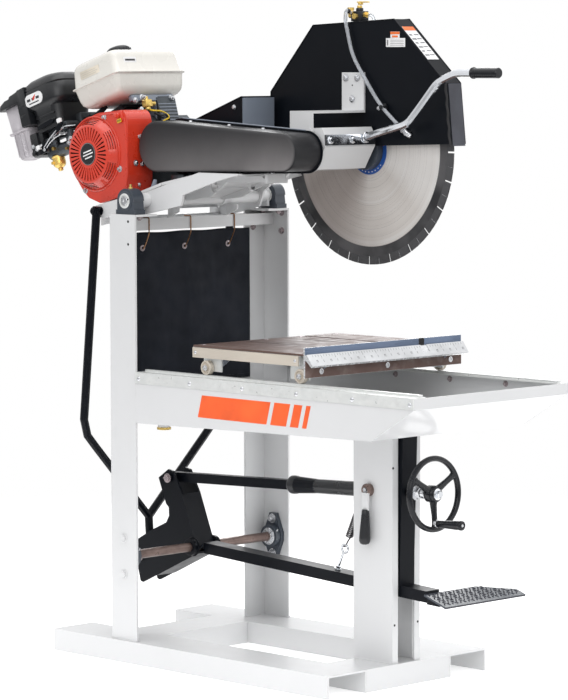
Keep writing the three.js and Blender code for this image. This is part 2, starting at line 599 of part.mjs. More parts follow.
// ---------------------------------------------------------------- engine
function buildEngine() {
  const engine = new THREE.Group();
  engine.position.set(CRANK.x, 0, CRANK.z);
  engine.rotation.y = ENGINE_TILT;
  saw.add(engine);
  const put = (name, shape, makeFinish) => addTo(engine, name, shape, makeFinish);

  const shroudBack = -135;
  const shroudFace = -224;
  const shroud = new THREE.Shape();
  shroud.moveTo(-20, -134);
  shroud.bezierCurveTo(30, -140, 70, -138, 92, -132);
  shroud.lineTo(112, -92);
  shroud.lineTo(151, 40);
  shroud.bezierCurveTo(156, 66, 150, 76, 138, 84);
  shroud.lineTo(50, 102);
  shroud.bezierCurveTo(0, 106, -60, 90, -94, 50);
  shroud.bezierCurveTo(-106, 10, -100, -60, -60, -108);
  put('fan_shroud', plateXZ(shroud, shroudFace, shroudBack), RED_PAINT);

  const ring = [];
  const foot = shroudFace - GAP;
  for (const [radius, y] of [[0, -250], [74, -250], [88, -246], [98, foot], [0, foot]]) {
    ring.push(new THREE.Vector2(radius, y));
  }
  put('recoil_cover', new THREE.LatheGeometry(ring, 40), RED_PAINT);

  const cylinder = plateXZ([[-20, 40], [60, 60], [30, 130], [-78, 116], [-100, 108], [-95, 50]], -120, 20);
  const sump = plateXZ([[-90, -141.6], [112, -141.6], [106, -60], [128, 20], [90, 80], [-60, 80], [-110, 20]],
    shroudBack + GAP, 62);
  const muffler = box(55, 112, -60, 8, 60, 126);
  const crankStub = alongY(0, 0, 60, 92, 14, 16);
  put('engine_block', union(cylinder, sump, muffler, crankStub), ENGINE_ALLOY);

  const tankNear = -210;
  const tankFar = 54;
  put('fuel_tank', tankShape(tankNear, tankFar), CREAM_PAINT);
  put('fuel_cap', union(
    bar([24, -80, 270 + GAP], [24, -80, 290], 34, 24),
    bar([24, -80, 289], [24, -80, 301], 34, 24, 27)), BLACK_PLASTIC);

  put('air_cleaner', union(
    plateXZ([[-245, 150], [-222, 120], [-150, 118], [-112, 132], [-106, 188], [-98, 196], [-98, 240],
      [-112, 264], [-156, 275], [-212, 272], [-256, 260], [-256, 157.5], [-245, 157.5]], -230, -62),
    box(-150, -102, -150, -70, 84, 134),
    plateXZ([[-346, 224], [-340, 234], [-300, 250], [-240, 257], [-240, 151], [-264, 151], [-264, 222.5]],
      -232, -108)), BLACK_PLASTIC);
  put('precleaner_bowl', union(
    plateXZ([[-318, 72], [-262, 66], [-258, 147], [-326, 147]], -220, -160),
    plateXZ([[-336, 144], [-252, 144], [-252, 149.5], [-336, 149.5]], -226, -154),
    plateXZ([[-328, 149], [-265, 149], [-265, 222], [-338, 222]], -222, -158)), MILKY_PLASTIC);
  put('carburettor', union(
    bar([-112, -182, 60], [-218, -182, 60], 20, 16),
    bar([-196, -182, 60], [-196, -182, 117], 15, 12),
    bar([-196, -182, 64], [-196, -182, 20], 19, 16),
    bar([-196, -182, 22], [-196, -182, 6], 15, 16, 19)), BRASS);
}

// Two tapered halves that meet at the seam flange.
function tankShape(near, far) {
  const middleX = 36;
  const middleY = (near + far) / 2;
  const section = (halfX, halfY, corner) => {
    const points = [];
    for (const [sx, sy, from] of [[1, 1, 0], [-1, 1, 90], [-1, -1, 180], [1, -1, 270]]) {
      for (let step = 0; step <= 3; step += 1) {
        const angle = THREE.MathUtils.degToRad(from + step * 30);
        points.push([middleX + sx * (halfX - corner) + corner * Math.cos(angle),
          middleY + sy * (halfY - corner) + corner * Math.sin(angle)]);
      }
    }
    return points;
  };
  const halfX = 98;
  const halfY = (far - near) / 2;
  const levels = [
    [133, halfX - 34, halfY - 30], [144, halfX - 16, halfY - 13], [191.5, halfX - 6, halfY - 5],
    [192, halfX, halfY], [196.5, halfX, halfY], [197, halfX - 6, halfY - 6],
    [253, halfX - 12, halfY - 11], [263, halfX - 24, halfY - 23], [270, halfX - 50, halfY - 55],
  ];
  const rings = levels.map(([z, hx, hy]) => section(hx, hy, 18).map(([px, py]) => [px, py, z]));
  const count = rings[0].length;
  const vertices = rings.flat(2);
  const triangles = [];
  for (let level = 0; level < rings.length - 1; level += 1) {
    for (let i = 0; i < count; i += 1) {
      const a = level * count + i;
      const b = level * count + ((i + 1) % count);
      triangles.push(a, b, b + count, a, b + count, a + count);
    }
  }
  const top = (rings.length - 1) * count;
  for (let i = 1; i < count - 1; i += 1) {
    triangles.push(0, i + 1, i);
    triangles.push(top, top + i, top + i + 1);
  }
  const geometry = new THREE.BufferGeometry();
  geometry.setAttribute('position', new THREE.Float32BufferAttribute(vertices, 3));
  geometry.setIndex(triangles);
  return geometry;
}

// ---------------------------------------------------------------- pedal, bell crank and lower shaft
const armZ = (x) => PEDAL_PIVOT.z + (x - PEDAL_PIVOT.x) * PEDAL_SLOPE;

function buildPedal() {
  const { x, z } = PEDAL_PIVOT;
  const cheek = [[-390, 469], [-350, 496], [-330, 492], [-295, 431], [-234, 284], [-236, 270], [-457, 168],
    [-467, 171], [-479, 217], [-478, 288], [-421, 319], [-360, 346], [-348, 366], [-349, 389], [-360, 399],
    [-370, 422]].reverse();
  const outside = 35;
  const sheet = 6;
  const frontWeb = [[-301, 428], [-295, 431], [-234, 284], [-240, 281]].reverse();
  const lowerWeb = [[-236, 276], [-236, 270], [-400, 193], [-400, 200]].reverse();
  const crank = union(plateXZ(cheek, -outside, -outside + sheet), plateXZ(cheek, outside - sheet, outside),
    plateXZ(frontWeb, -outside, outside), plateXZ(lowerWeb, -outside, outside),
    alongY(x, z, -outside - 14, -outside + 2, 24), alongY(x, z, outside - 2, outside + 14, 24),
    alongY(LINK_PIN.x, LINK_PIN.z, -outside - 6, outside + 6, 8, 12),
    alongY(CRANK_PIN.x, CRANK_PIN.z, -outside - 6, outside + 6, 7, 12))
    .subtract(solid(alongY(x, z, -60, 60, SHAFT_RADIUS + GAP)));
  add('bell_crank', crank, BLACK_PAINT);
  const reach = LEG.outer - LEG.wall - 1;
  add('lower_shaft', alongY(x, z, -reach, reach, SHAFT_RADIUS), BARE_STEEL);

  const armRear = -218;
  const armFront = 617;
  const treadZ = (px) => 246.5 - 0.34 * (px - armFront);
  const nose = 670;
  const beam = plateXZ([[armRear, armZ(armRear) - ARM_HALF.z], [nose + 2, armZ(nose + 2) - ARM_HALF.z],
    [nose, treadZ(nose) - GAP], [armFront, treadZ(armFront) - GAP], [armFront, armZ(armFront) + ARM_HALF.z],
    [armRear, armZ(armRear) + ARM_HALF.z]], -ARM_HALF.y, ARM_HALF.y);
  const postHalf = 27;
  const upright = [[474, armZ(474)], [524, armZ(524)], [536.5, 652], [486.5, 652]];
  const post = solid(plateXZ(upright, -postHalf, postHalf))
    .subtract(solid(bar([440, 0, 502.8], [580, 0, 508.4], 14, 16)));
  add('pedal_arm', solid(beam).add(post), BLACK_PAINT);

  // Raised tread plate, sloping down to the operator, with its far rear corner cut off.
  const lip = 692;
  const tread = solid(plateXZ([[armFront + GAP, treadZ(armFront)], [lip, treadZ(lip)],
    [lip + 2, treadZ(lip) + 5], [armFront + GAP, treadZ(armFront) + 5]], -33, 277));
  const corner = plateXY([[armFront, 163], [armFront + 45, 278], [armFront, 278]], 200, 270);
  add('foot_plate', tread.subtract(solid(corner)), DARK_CAST);
}

// ---------------------------------------------------------------- screw link, handwheel and spring
const LINK_TILT = Math.atan2(HANDWHEEL.z - LINK_PIN.z, HANDWHEEL.x - LINK_PIN.x);
const linkZ = (x) => LINK_PIN.z + (x - LINK_PIN.x) * Math.tan(LINK_TILT);

function buildLink() {
  const boot = 104;
  const end = 469;
  const strap = [[LINK_PIN.x - 16, linkZ(LINK_PIN.x) - 13], [boot + 6, linkZ(boot) - 13],
    [boot + 6, linkZ(boot) + 13], [LINK_PIN.x - 16, linkZ(LINK_PIN.x) + 13]];
  const link = union(plateXZ(strap, -13, 13),
    bar([boot, 0, linkZ(boot)], [boot + 22, 0, linkZ(boot + 22)], 23, 18),
    bar([boot + 21, 0, linkZ(boot + 21)], [245, 0, linkZ(245)], 23, 18, 17),
    bar([244, 0, linkZ(244)], [end, 0, linkZ(end)], 18, 18))
    .subtract(solid(alongY(LINK_PIN.x, LINK_PIN.z, -20, 20, 8 + GAP, 12)));
  add('screw_link', link, BLACK_PAINT);

  // The wheel, its rod and its grip turn about the line of the screw, and x runs along that line from
  // the middle of the wheel.
  const wheel = new THREE.Group();
  wheel.position.set(HANDWHEEL.x, 0, HANDWHEEL.z);
  wheel.rotation.y = -LINK_TILT;
  saw.add(wheel);
  const { radius } = HANDWHEEL;
  const rimRadius = 8;
  const reach = radius - rimRadius;
  const rodLength = (HANDWHEEL.x - end) / Math.cos(LINK_TILT) - 1;
  const rim = new THREE.TorusGeometry(reach, rimRadius, 8, 32).rotateY(Math.PI / 2);
  const spokes = [-90, 30, 150].map((degrees) => {
    const angle = THREE.MathUtils.degToRad(degrees);
    return bar([0, 0, 0], [0, reach * Math.cos(angle), reach * Math.sin(angle)], 9, 8, 7);
  });
  const stub = -77;
  addTo(wheel, 'handwheel', union(rim, ...spokes,
    bar([-18, 0, 0], [14, 0, 0], 21, 20), bar([13, 0, 0], [24, 0, 0], 9, 6),
    bar([-rodLength, 0, 0], [0, 0, 0], 10, 14), bar([-62, 0, 0], [-40, 0, 0], 16, 6),
    bar([0, 0, stub], [95, 0, stub], 4, 10)), BLACK_PAINT);
  const grip = solid(bar([14, 0, stub], [98, 0, stub], 9, 18, 12))
    .subtract(solid(bar([10, 0, stub], [102, 0, stub], 4 + GAP, 10)));
  addTo(wheel, 'crank_grip', grip, BLACK_PLASTIC);

  const top = [372, 0, 470];
  const foot = [281, 0, armZ(281) + ARM_HALF.z + GAP + 1];
  const at = (t) => top.map((value, i) => value + (foot[i] - value) * t);
  add('return_spring', union(
    bar(at(0), at(0.1), 3, 8), bar(at(0.08), at(0.52), 9, 12), bar(at(0.5), at(0.62), 3, 8),
    bar(at(0.6), at(0.7), 11, 10), bar(at(0.68), at(1), 3.5, 8)), BRIGHT_STEEL);
}

// ---------------------------------------------------------------- lifting yoke behind the legs
function buildYoke() {
  const { topX, topZ, y, bendX, bendZ, joinX, joinZ } = YOKE;
  const side = (sign) => tubeAlong(roundedRoute([[topX, sign * y, topZ + 12], [bendX, sign * y, bendZ],
    [joinX, 0, joinZ]], 34), YOKE_RADIUS, 8, 20);
  const stem = bar([joinX, 0, joinZ + 8], [CRANK_PIN.x, 0, CRANK_PIN.z], YOKE_RADIUS, 10);
  const eye = alongY(CRANK_PIN.x, CRANK_PIN.z, -20, 20, 18, 16);
  const pins = [-1, 1].map((sign) => bar([topX, sign * (y + 16), topZ], [topX, sign * 226, topZ], 6, 10));
  const yoke = union(side(-1), side(1), stem, eye, ...pins)
    .subtract(solid(alongY(CRANK_PIN.x, CRANK_PIN.z, -30, 30, 12, 12)));
  add('lifting_yoke', yoke, BLACK_PAINT);
}

buildBase();
buildLegs();
buildCurtain();
buildTray();
buildRails();
buildColumn();
buildCart();
buildArm();
buildDrive();
buildBeltGuard();
buildBlade();
buildHandle();
buildWaterKit();
buildEngine();
buildPedal();
buildLink();
buildYoke();

const model = new THREE.Group();
model.add(saw);
model.updateMatrixWorld(true);
const middle = new THREE.Box3().setFromObject(model, true).getCenter(new THREE.Vector3());
saw.position.set(-middle.x, -middle.y, 0);

export default model;
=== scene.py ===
"""Looks of the pedal-operated masonry saw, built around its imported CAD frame. Metres, +Z up.

Places and sizes are in millimetres from the middle of the base on the floor, as in the CAD; Form turns
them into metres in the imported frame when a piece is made."""
import json
import math

import bmesh
import bpy
from mathutils import Matrix, Vector


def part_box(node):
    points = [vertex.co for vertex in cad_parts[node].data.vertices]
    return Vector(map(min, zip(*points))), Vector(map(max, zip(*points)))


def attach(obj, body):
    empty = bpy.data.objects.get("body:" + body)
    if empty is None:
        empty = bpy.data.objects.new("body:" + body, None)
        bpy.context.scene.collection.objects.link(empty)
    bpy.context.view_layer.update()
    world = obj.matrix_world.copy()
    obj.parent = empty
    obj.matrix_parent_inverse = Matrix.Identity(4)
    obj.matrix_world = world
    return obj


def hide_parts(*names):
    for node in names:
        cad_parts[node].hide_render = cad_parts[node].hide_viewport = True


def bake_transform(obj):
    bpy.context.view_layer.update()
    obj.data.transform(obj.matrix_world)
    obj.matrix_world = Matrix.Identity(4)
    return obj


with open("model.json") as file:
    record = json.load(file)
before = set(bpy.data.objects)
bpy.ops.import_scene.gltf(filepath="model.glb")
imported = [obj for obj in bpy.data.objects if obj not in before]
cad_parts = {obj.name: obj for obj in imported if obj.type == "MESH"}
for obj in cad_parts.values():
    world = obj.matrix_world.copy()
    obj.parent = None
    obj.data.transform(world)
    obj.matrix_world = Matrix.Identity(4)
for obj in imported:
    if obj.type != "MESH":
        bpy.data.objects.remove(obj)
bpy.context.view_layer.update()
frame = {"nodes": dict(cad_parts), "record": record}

MM = 0.001

# The design frame starts in the middle of the base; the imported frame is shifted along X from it.
base_low, base_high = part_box("base_near_channel")
BASE_MIDDLE_X = (base_low[0] + base_high[0]) / 2
BASE = Matrix.Translation((BASE_MIDDLE_X, 0, 0)) @ Matrix.Scale(MM, 4)

# Driving dimensions shared with the CAD: (x, z) of each axis that runs across the machine.
CRANK = (-434, 1372)
ENGINE = BASE @ Matrix.Translation((CRANK[0], 0, CRANK[1])) @ Matrix.Rotation(math.radians(-17), 4, "Y")
HEAD_PIVOT = (-243.5, 1251)
PEDAL_PIVOT = (-251, 289)
ARBOR = (255.3, 1387.1)
JACKSHAFT = (-227, 1395)
BLADE_Y = 140
LINK_RISE, LINK_RUN = 38, 967
LINK_TILT = math.atan2(LINK_RISE, LINK_RUN)
HANDWHEEL = BASE @ Matrix.Translation((621, 0, 510)) @ Matrix.Rotation(-LINK_TILT, 4, "Y")
PEDAL_SLOPE = -0.0521
PEDAL_TUBE_HALF = 15
FORWARD, NEARWARD, FARWARD = (1, 0, 0), (0, -1, 0), (0, 1, 0)
UPWARD, DOWNWARD = (0, 0, 1), (0, 0, -1)
STUDIO_MIDDLE = (0.0, 0.0, 0.9)


def at(x, y, z):
    """A point given in millimetres from the middle of the base."""
    return BASE @ Vector((x, y, z))


# ---------------------------------------------------------------- camera, light and floor
def aim(obj, azimuth, depression, roll):
    """Turns a camera to look that many degrees round from -Y, down, and rolled about its own axis."""
    a, e, r = (math.radians(v) for v in (azimuth, depression, roll))
    forward = Vector((-math.sin(a) * math.cos(e), math.cos(a) * math.cos(e), -math.sin(e)))
    right = Vector((math.cos(a), math.sin(a), 0))
    up = right.cross(forward)
    side = right * math.cos(r) + up * math.sin(r)
    head = up * math.cos(r) - right * math.sin(r)
    turn = Matrix((side, head, -forward)).transposed()
    obj.matrix_world = Matrix.Translation(obj.location) @ turn.to_4x4()


def make_camera():
    """A long lens at about the height of the blade."""
    data = bpy.data.cameras.new("camera")
    data.lens = 177.42
    data.sensor_width = 36
    data.clip_end = 60
    camera = bpy.data.objects.new("camera", data)
    camera.location = at(6631, -6499.2, 1645.2)
    bpy.context.scene.collection.objects.link(camera)
    azimuth, depression, roll = 45.264, 4.918, -0.103
    aim(camera, azimuth, depression, roll)
    bpy.context.scene.camera = camera


def make_area_light(name, place, size, power):
    """A soft white rectangle in metres that points at the middle of the object."""
    data = bpy.data.lights.new(name, "AREA")
    data.shape = "RECTANGLE"
    data.size, data.size_y = size
    data.energy = power
    lamp = bpy.data.objects.new(name, data)
    bpy.context.scene.collection.objects.link(lamp)
    lamp.location = Vector(place)
    lamp.rotation_euler = (Vector(STUDIO_MIDDLE) - lamp.location).to_track_quat("-Z", "Y").to_euler()


def make_world():
    """White behind the object; what lights it and shows in gloss is a soft sky, brighter overhead."""
    world = bpy.data.worlds.new("studio")
    bpy.context.scene.world = world
    world.use_nodes = True
    tree = world.node_tree
    backdrop = tree.nodes["Background"]
    backdrop.inputs[0].default_value = (1, 1, 1, 1)
    backdrop.inputs[1].default_value = 1.0
    sky = tree.nodes.new("ShaderNodeBackground")
    place = tree.nodes.new("ShaderNodeTexCoord")
    split = tree.nodes.new("ShaderNodeSeparateXYZ")
    ramp = tree.nodes.new("ShaderNodeValToRGB")
    stops = [(0.0, 0.74), (0.47, 0.40), (0.56, 0.68), (0.8, 1.18)]
    while len(ramp.color_ramp.elements) < len(stops):
        ramp.color_ramp.elements.new(0.5)
    for element, (position, level) in zip(ramp.color_ramp.elements, stops):
        element.position = position
        element.color = (level, level, level * 1.01, 1)
    height = tree.nodes.new("ShaderNodeMath")
    height.operation = "MULTIPLY_ADD"
    height.inputs[1].default_value = 0.5
    height.inputs[2].default_value = 0.5
    rays = tree.nodes.new("ShaderNodeLightPath")
    mix = tree.nodes.new("ShaderNodeMixShader")
    link = tree.links.new
    link(place.outputs["Generated"], split.inputs[0])
    link(split.outputs["Z"], height.inputs[0])
    link(height.outputs[0], ramp.inputs["Fac"])
    link(ramp.outputs["Color"], sky.inputs[0])
    link(rays.outputs["Is Camera Ray"], mix.inputs[0])
    link(sky.outputs[0], mix.inputs[1])
    link(backdrop.outputs[0], mix.inputs[2])
    link(mix.outputs[0], tree.nodes["World Output"].inputs["Surface"])


def make_studio():
    """Camera, sky, four soft lights and the pale floor."""
    make_camera()
    make_world()
    make_area_light("key", (2.6, -3.4, 3.4), (3.2, 3.2), 54)
    make_area_light("side", (3.4, 2.6, 1.6), (3.2, 3.4), 24)
    make_area_light("rim", (-2.6, 3.6, 2.8), (2.0, 2.0), 60)
    make_area_light("top", (0.0, 0.2, 4.2), (3.0, 3.0), 38)
    bpy.ops.mesh.primitive_circle_add(vertices=96, radius=6.0, fill_type="NGON", location=(0, 0, -0.0005))
    floor = bpy.context.object
    floor.name = "floor"
    floor.data.materials.append(plain_floor())
    bpy.context.scene.view_settings.view_transform = "Standard"


# ---------------------------------------------------------------- mesh tools
def turned(points, axis):
    """Points of an outline (a, b) and a height h as (x, y, z), where h runs along the given axis."""
    if axis == "X":
        return [(h, a, b) for a, b, h in points]
    if axis == "Y":
        return [(a, h, b) for a, b, h in points]
    return points


def full_turn(steps):
    """Angles round a whole turn, with the first one repeated at the end."""
    return [2 * math.pi * i / steps for i in range(steps + 1)]


def on_circle(centre, radius, turn):
    """The point of a circle at an angle in radians."""
    return centre[0] + radius * math.cos(turn), centre[1] + radius * math.sin(turn)


def circle_about_y(centre, y, radius, steps):
    """A closed round path in a plane across Y."""
    return [(x, y, z) for x, z in (on_circle(centre, radius, turn) for turn in full_turn(steps))]


def arc(centre, radius, start, end, steps):
    """Points of an arc, with its angles in degrees."""
    turns = [math.radians(start + (end - start) * i / steps) for i in range(steps + 1)]
    return [on_circle(centre, radius, turn) for turn in turns]


def rounded_rectangle(low, high, radius, steps=5):
    """A rectangle's outline with round corners."""
    (x0, y0), (x1, y1) = low, high
    r = min(radius, (x1 - x0) / 2 - 0.01, (y1 - y0) / 2 - 0.01)
    corners = [((x1 - r, y1 - r), 0), ((x0 + r, y1 - r), 90), ((x0 + r, y0 + r), 180),
               ((x1 - r, y0 + r), 270)]
    return [p for centre, start in corners for p in arc(centre, r, start, start + 90, steps)]


def two_circle_outline(rear, rear_radius, front, front_radius, steps=24):
    """The outline around two circles and their outer tangents."""
    dx, dz = front[0] - rear[0], front[1] - rear[1]
    tilt = math.degrees(math.atan2(dz, dx))
    lean = math.degrees(math.acos((rear_radius - front_radius) / math.hypot(dx, dz)))
    return (arc(front, front_radius, tilt - lean, tilt + lean, steps)
            + arc(rear, rear_radius, tilt + lean, tilt - lean + 360, steps))


def smooth_path(points, count):
    """Points along a centripetal curve through the given ones."""
    knots = [Vector(p) for p in points]
    knots = [knots[0] * 2 - knots[1]] + knots + [knots[-1] * 2 - knots[-2]]
    times = [0.0]
    for first, second in zip(knots, knots[1:]):
        times.append(times[-1] + max((second - first).length, 1e-6) ** 0.5)
    path = []
    for i in range(count):
        t = times[1] + (times[-2] - times[1]) * i / (count - 1)
        k = next((n for n in range(1, len(knots) - 2) if t <= times[n + 1]), len(knots) - 3)
        p0, p1, p2, p3 = knots[k - 1:k + 3]
        t0, t1, t2, t3 = times[k - 1:k + 3]
        a1 = (p0 * (t1 - t) + p1 * (t - t0)) / (t1 - t0)
        a2 = (p1 * (t2 - t) + p2 * (t - t1)) / (t2 - t1)
        a3 = (p2 * (t3 - t) + p3 * (t - t2)) / (t3 - t2)
        b1 = (a1 * (t2 - t) + a2 * (t - t0)) / (t2 - t0)
        b2 = (a2 * (t3 - t) + a3 * (t - t1)) / (t3 - t1)
        path.append((b1 * (t2 - t) + b2 * (t - t1)) / (t2 - t1))
    return path


class Form:
    """Mesh code for one piece: its parts are added in millimetres, then make() turns it into an object."""

    def __init__(self, place=BASE):
        self.place = place
        self.mesh = bmesh.new()

    def skin(self, rings, closed=True, caps=True):
        """Faces between rings of points that all have the same count."""
        made = [[self.mesh.verts.new(point) for point in ring] for ring in rings]
        count = len(made[0])
        last = count if closed else count - 1
        for lower, upper in zip(made, made[1:]):
            for i in range(last):
                j = (i + 1) % count
                self.mesh.faces.new((lower[i], lower[j], upper[j], upper[i]))
        if caps:
            self.mesh.faces.new(list(reversed(made[0])))
            self.mesh.faces.new(made[-1])
        return self

    def plate(self, outline, axis, low, high, soften=0.0, steps=2):
        """An outline pushed along an axis, its two outer edges rounded by soften."""
        middle = Vector((sum(p[0] for p in outline), sum(p[1] for p in outline))) / len(outline)

        def ring(height, inset):
            points = []
            for a, b in outline:
                away = Vector((a, b)) - middle
                kept = middle + away * (1 - inset / max(away.length, inset + 0.01))
                points.append((kept[0], kept[1], height))
            return turned(points, axis)

        if not soften:
            return self.skin([ring(low, 0), ring(high, 0)])
        turns = [math.pi / 2 * i / steps for i in range(steps + 1)]
        lower = [ring(low + soften * (1 - math.sin(turn)), soften * (1 - math.cos(turn))) for turn in turns]
        upper = [ring(high - soften * (1 - math.sin(turn)), soften * (1 - math.cos(turn))) for turn in turns]
        return self.skin(list(reversed(lower)) + upper)

    def block(self, low, high, soften=1.0):
        """A box between two corners, with rounded edges."""
        outline = rounded_rectangle((low[0], low[1]), (high[0], high[1]), max(soften, 0.2), 2)
        return self.plate(outline, "Z", low[2], high[2], min(soften, (high[2] - low[2]) / 2.5))

    def rod(self, start, end, radius, end_radius=None, sides=24, soften=0.0):
        """A round bar between two points; soften rounds its two rims."""
        end_radius = radius if end_radius is None else end_radius
        length = (Vector(end) - Vector(start)).length
        soft = min(soften, length / 2.1, radius * 0.9)
        profile = [(0, 0), (radius - soft, 0)]
        if soft:
            profile += [(radius - soft * 0.3, soft * 0.3), (radius, soft)]
            profile += [(end_radius, length - soft), (end_radius - soft * 0.3, length - soft * 0.3)]
        profile += [(end_radius - soft, length), (0, length)]
        return self.lathe(start, Vector(end) - Vector(start), profile, sides)

    def lathe(self, origin, axis, profile, sides=32):
        """A profile of (radius, height) points turned about an axis."""
        direction = Vector(axis).normalized()
        side = direction.orthogonal().normalized()
        other = direction.cross(side)
        base = Vector(origin)
        rings = []
        for radius, height in profile:
            centre = base + direction * height
            if radius < 1e-6:
                rings.append([self.mesh.verts.new(centre)])
                continue
            rings.append([self.mesh.verts.new(centre + side * radius * math.cos(2 * math.pi * i / sides)
                                              + other * radius * math.sin(2 * math.pi * i / sides))
                          for i in range(sides)])
        for lower, upper in zip(rings, rings[1:]):
            for i in range(sides):
                j = (i + 1) % sides
                if len(lower) == 1 and len(upper) == 1:
                    break
                if len(lower) == 1:
                    self.mesh.faces.new((lower[0], upper[j], upper[i]))
                elif len(upper) == 1:
                    self.mesh.faces.new((lower[i], lower[j], upper[0]))
                else:
                    self.mesh.faces.new((lower[i], lower[j], upper[j], upper[i]))
        return self

    def tube(self, path, radius, sides=12, caps=True):
        """A round tube along points; its radius is a number or one for each point."""
        points = [Vector(p) for p in path]
        radii = radius if hasattr(radius, "__len__") else [radius] * len(points)
        ahead = (points[1] - points[0]).normalized()
        side = ahead.orthogonal().normalized()
        rings = []
        for i, point in enumerate(points):
            before = points[max(i - 1, 0)]
            after = points[min(i + 1, len(points) - 1)]
            ahead = (after - before).normalized()
            side = (side - ahead * side.dot(ahead)).normalized()
            other = ahead.cross(side)
            rings.append([point + (side * math.cos(2 * math.pi * k / sides)
                                   + other * math.sin(2 * math.pi * k / sides)) * radii[i]
                          for k in range(sides)])
        return self.skin(rings, caps=caps)

    def bolt(self, place, facing, across=10.0, head=5.0, washer=1.25, thread=0.0):
        """A hexagon head or nut standing on a surface, with its washer and any thread that shows."""
        direction = Vector(facing).normalized()
        start = Vector(place)
        if washer:
            self.rod(start, start + direction * 1.4, across * washer * 0.62, sides=24, soften=0.4)
            start = start + direction * 1.3
        radius = across / 2 / math.cos(math.pi / 6)
        profile = [(0, 0), (radius, 0), (radius, head * 0.82), (radius * 0.86, head), (0, head)]
        self.lathe(start, direction, profile, 6)
        if thread:
            self.rod(start, start + direction * (head + thread), across * 0.29, sides=14, soften=0.6)
        return self

    def bolts(self, places, facing, *sizes):
        """The same bolt at several places."""
        for place in places:
            self.bolt(place, facing, *sizes)
        return self

    def dome(self, place, facing, radius, height, sides=20):
        """A low button head with a small recess."""
        profile = [(radius * math.cos(t), height * math.sin(t)) for t in
                   (math.pi / 2 * i / 5 for i in range(5))]
        profile += [(radius * 0.28, height * 0.97), (radius * 0.26, height * 0.5), (0, height * 0.5)]
        return self.lathe(place, facing, [(0, 0)] + profile, sides)

    def make(self, name, finish, body, crease=32.0):
        """The finished object: in metres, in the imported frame, with its material, riding on its body."""
        bmesh.ops.recalc_face_normals(self.mesh, faces=self.mesh.faces)
        self.mesh.transform(self.place)
        data = bpy.data.meshes.new(name)
        self.mesh.to_mesh(data)
        self.mesh.free()
        data.shade_smooth()
        data.set_sharp_from_angle(angle=math.radians(crease))
        obj = bpy.data.objects.new(name, data)
        bpy.context.scene.collection.objects.link(obj)
        obj.data.materials.append(MATERIALS[finish])
        if body:
            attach(obj, body)
        return obj


# ---------------------------------------------------------------- material tools
MATERIALS = {}


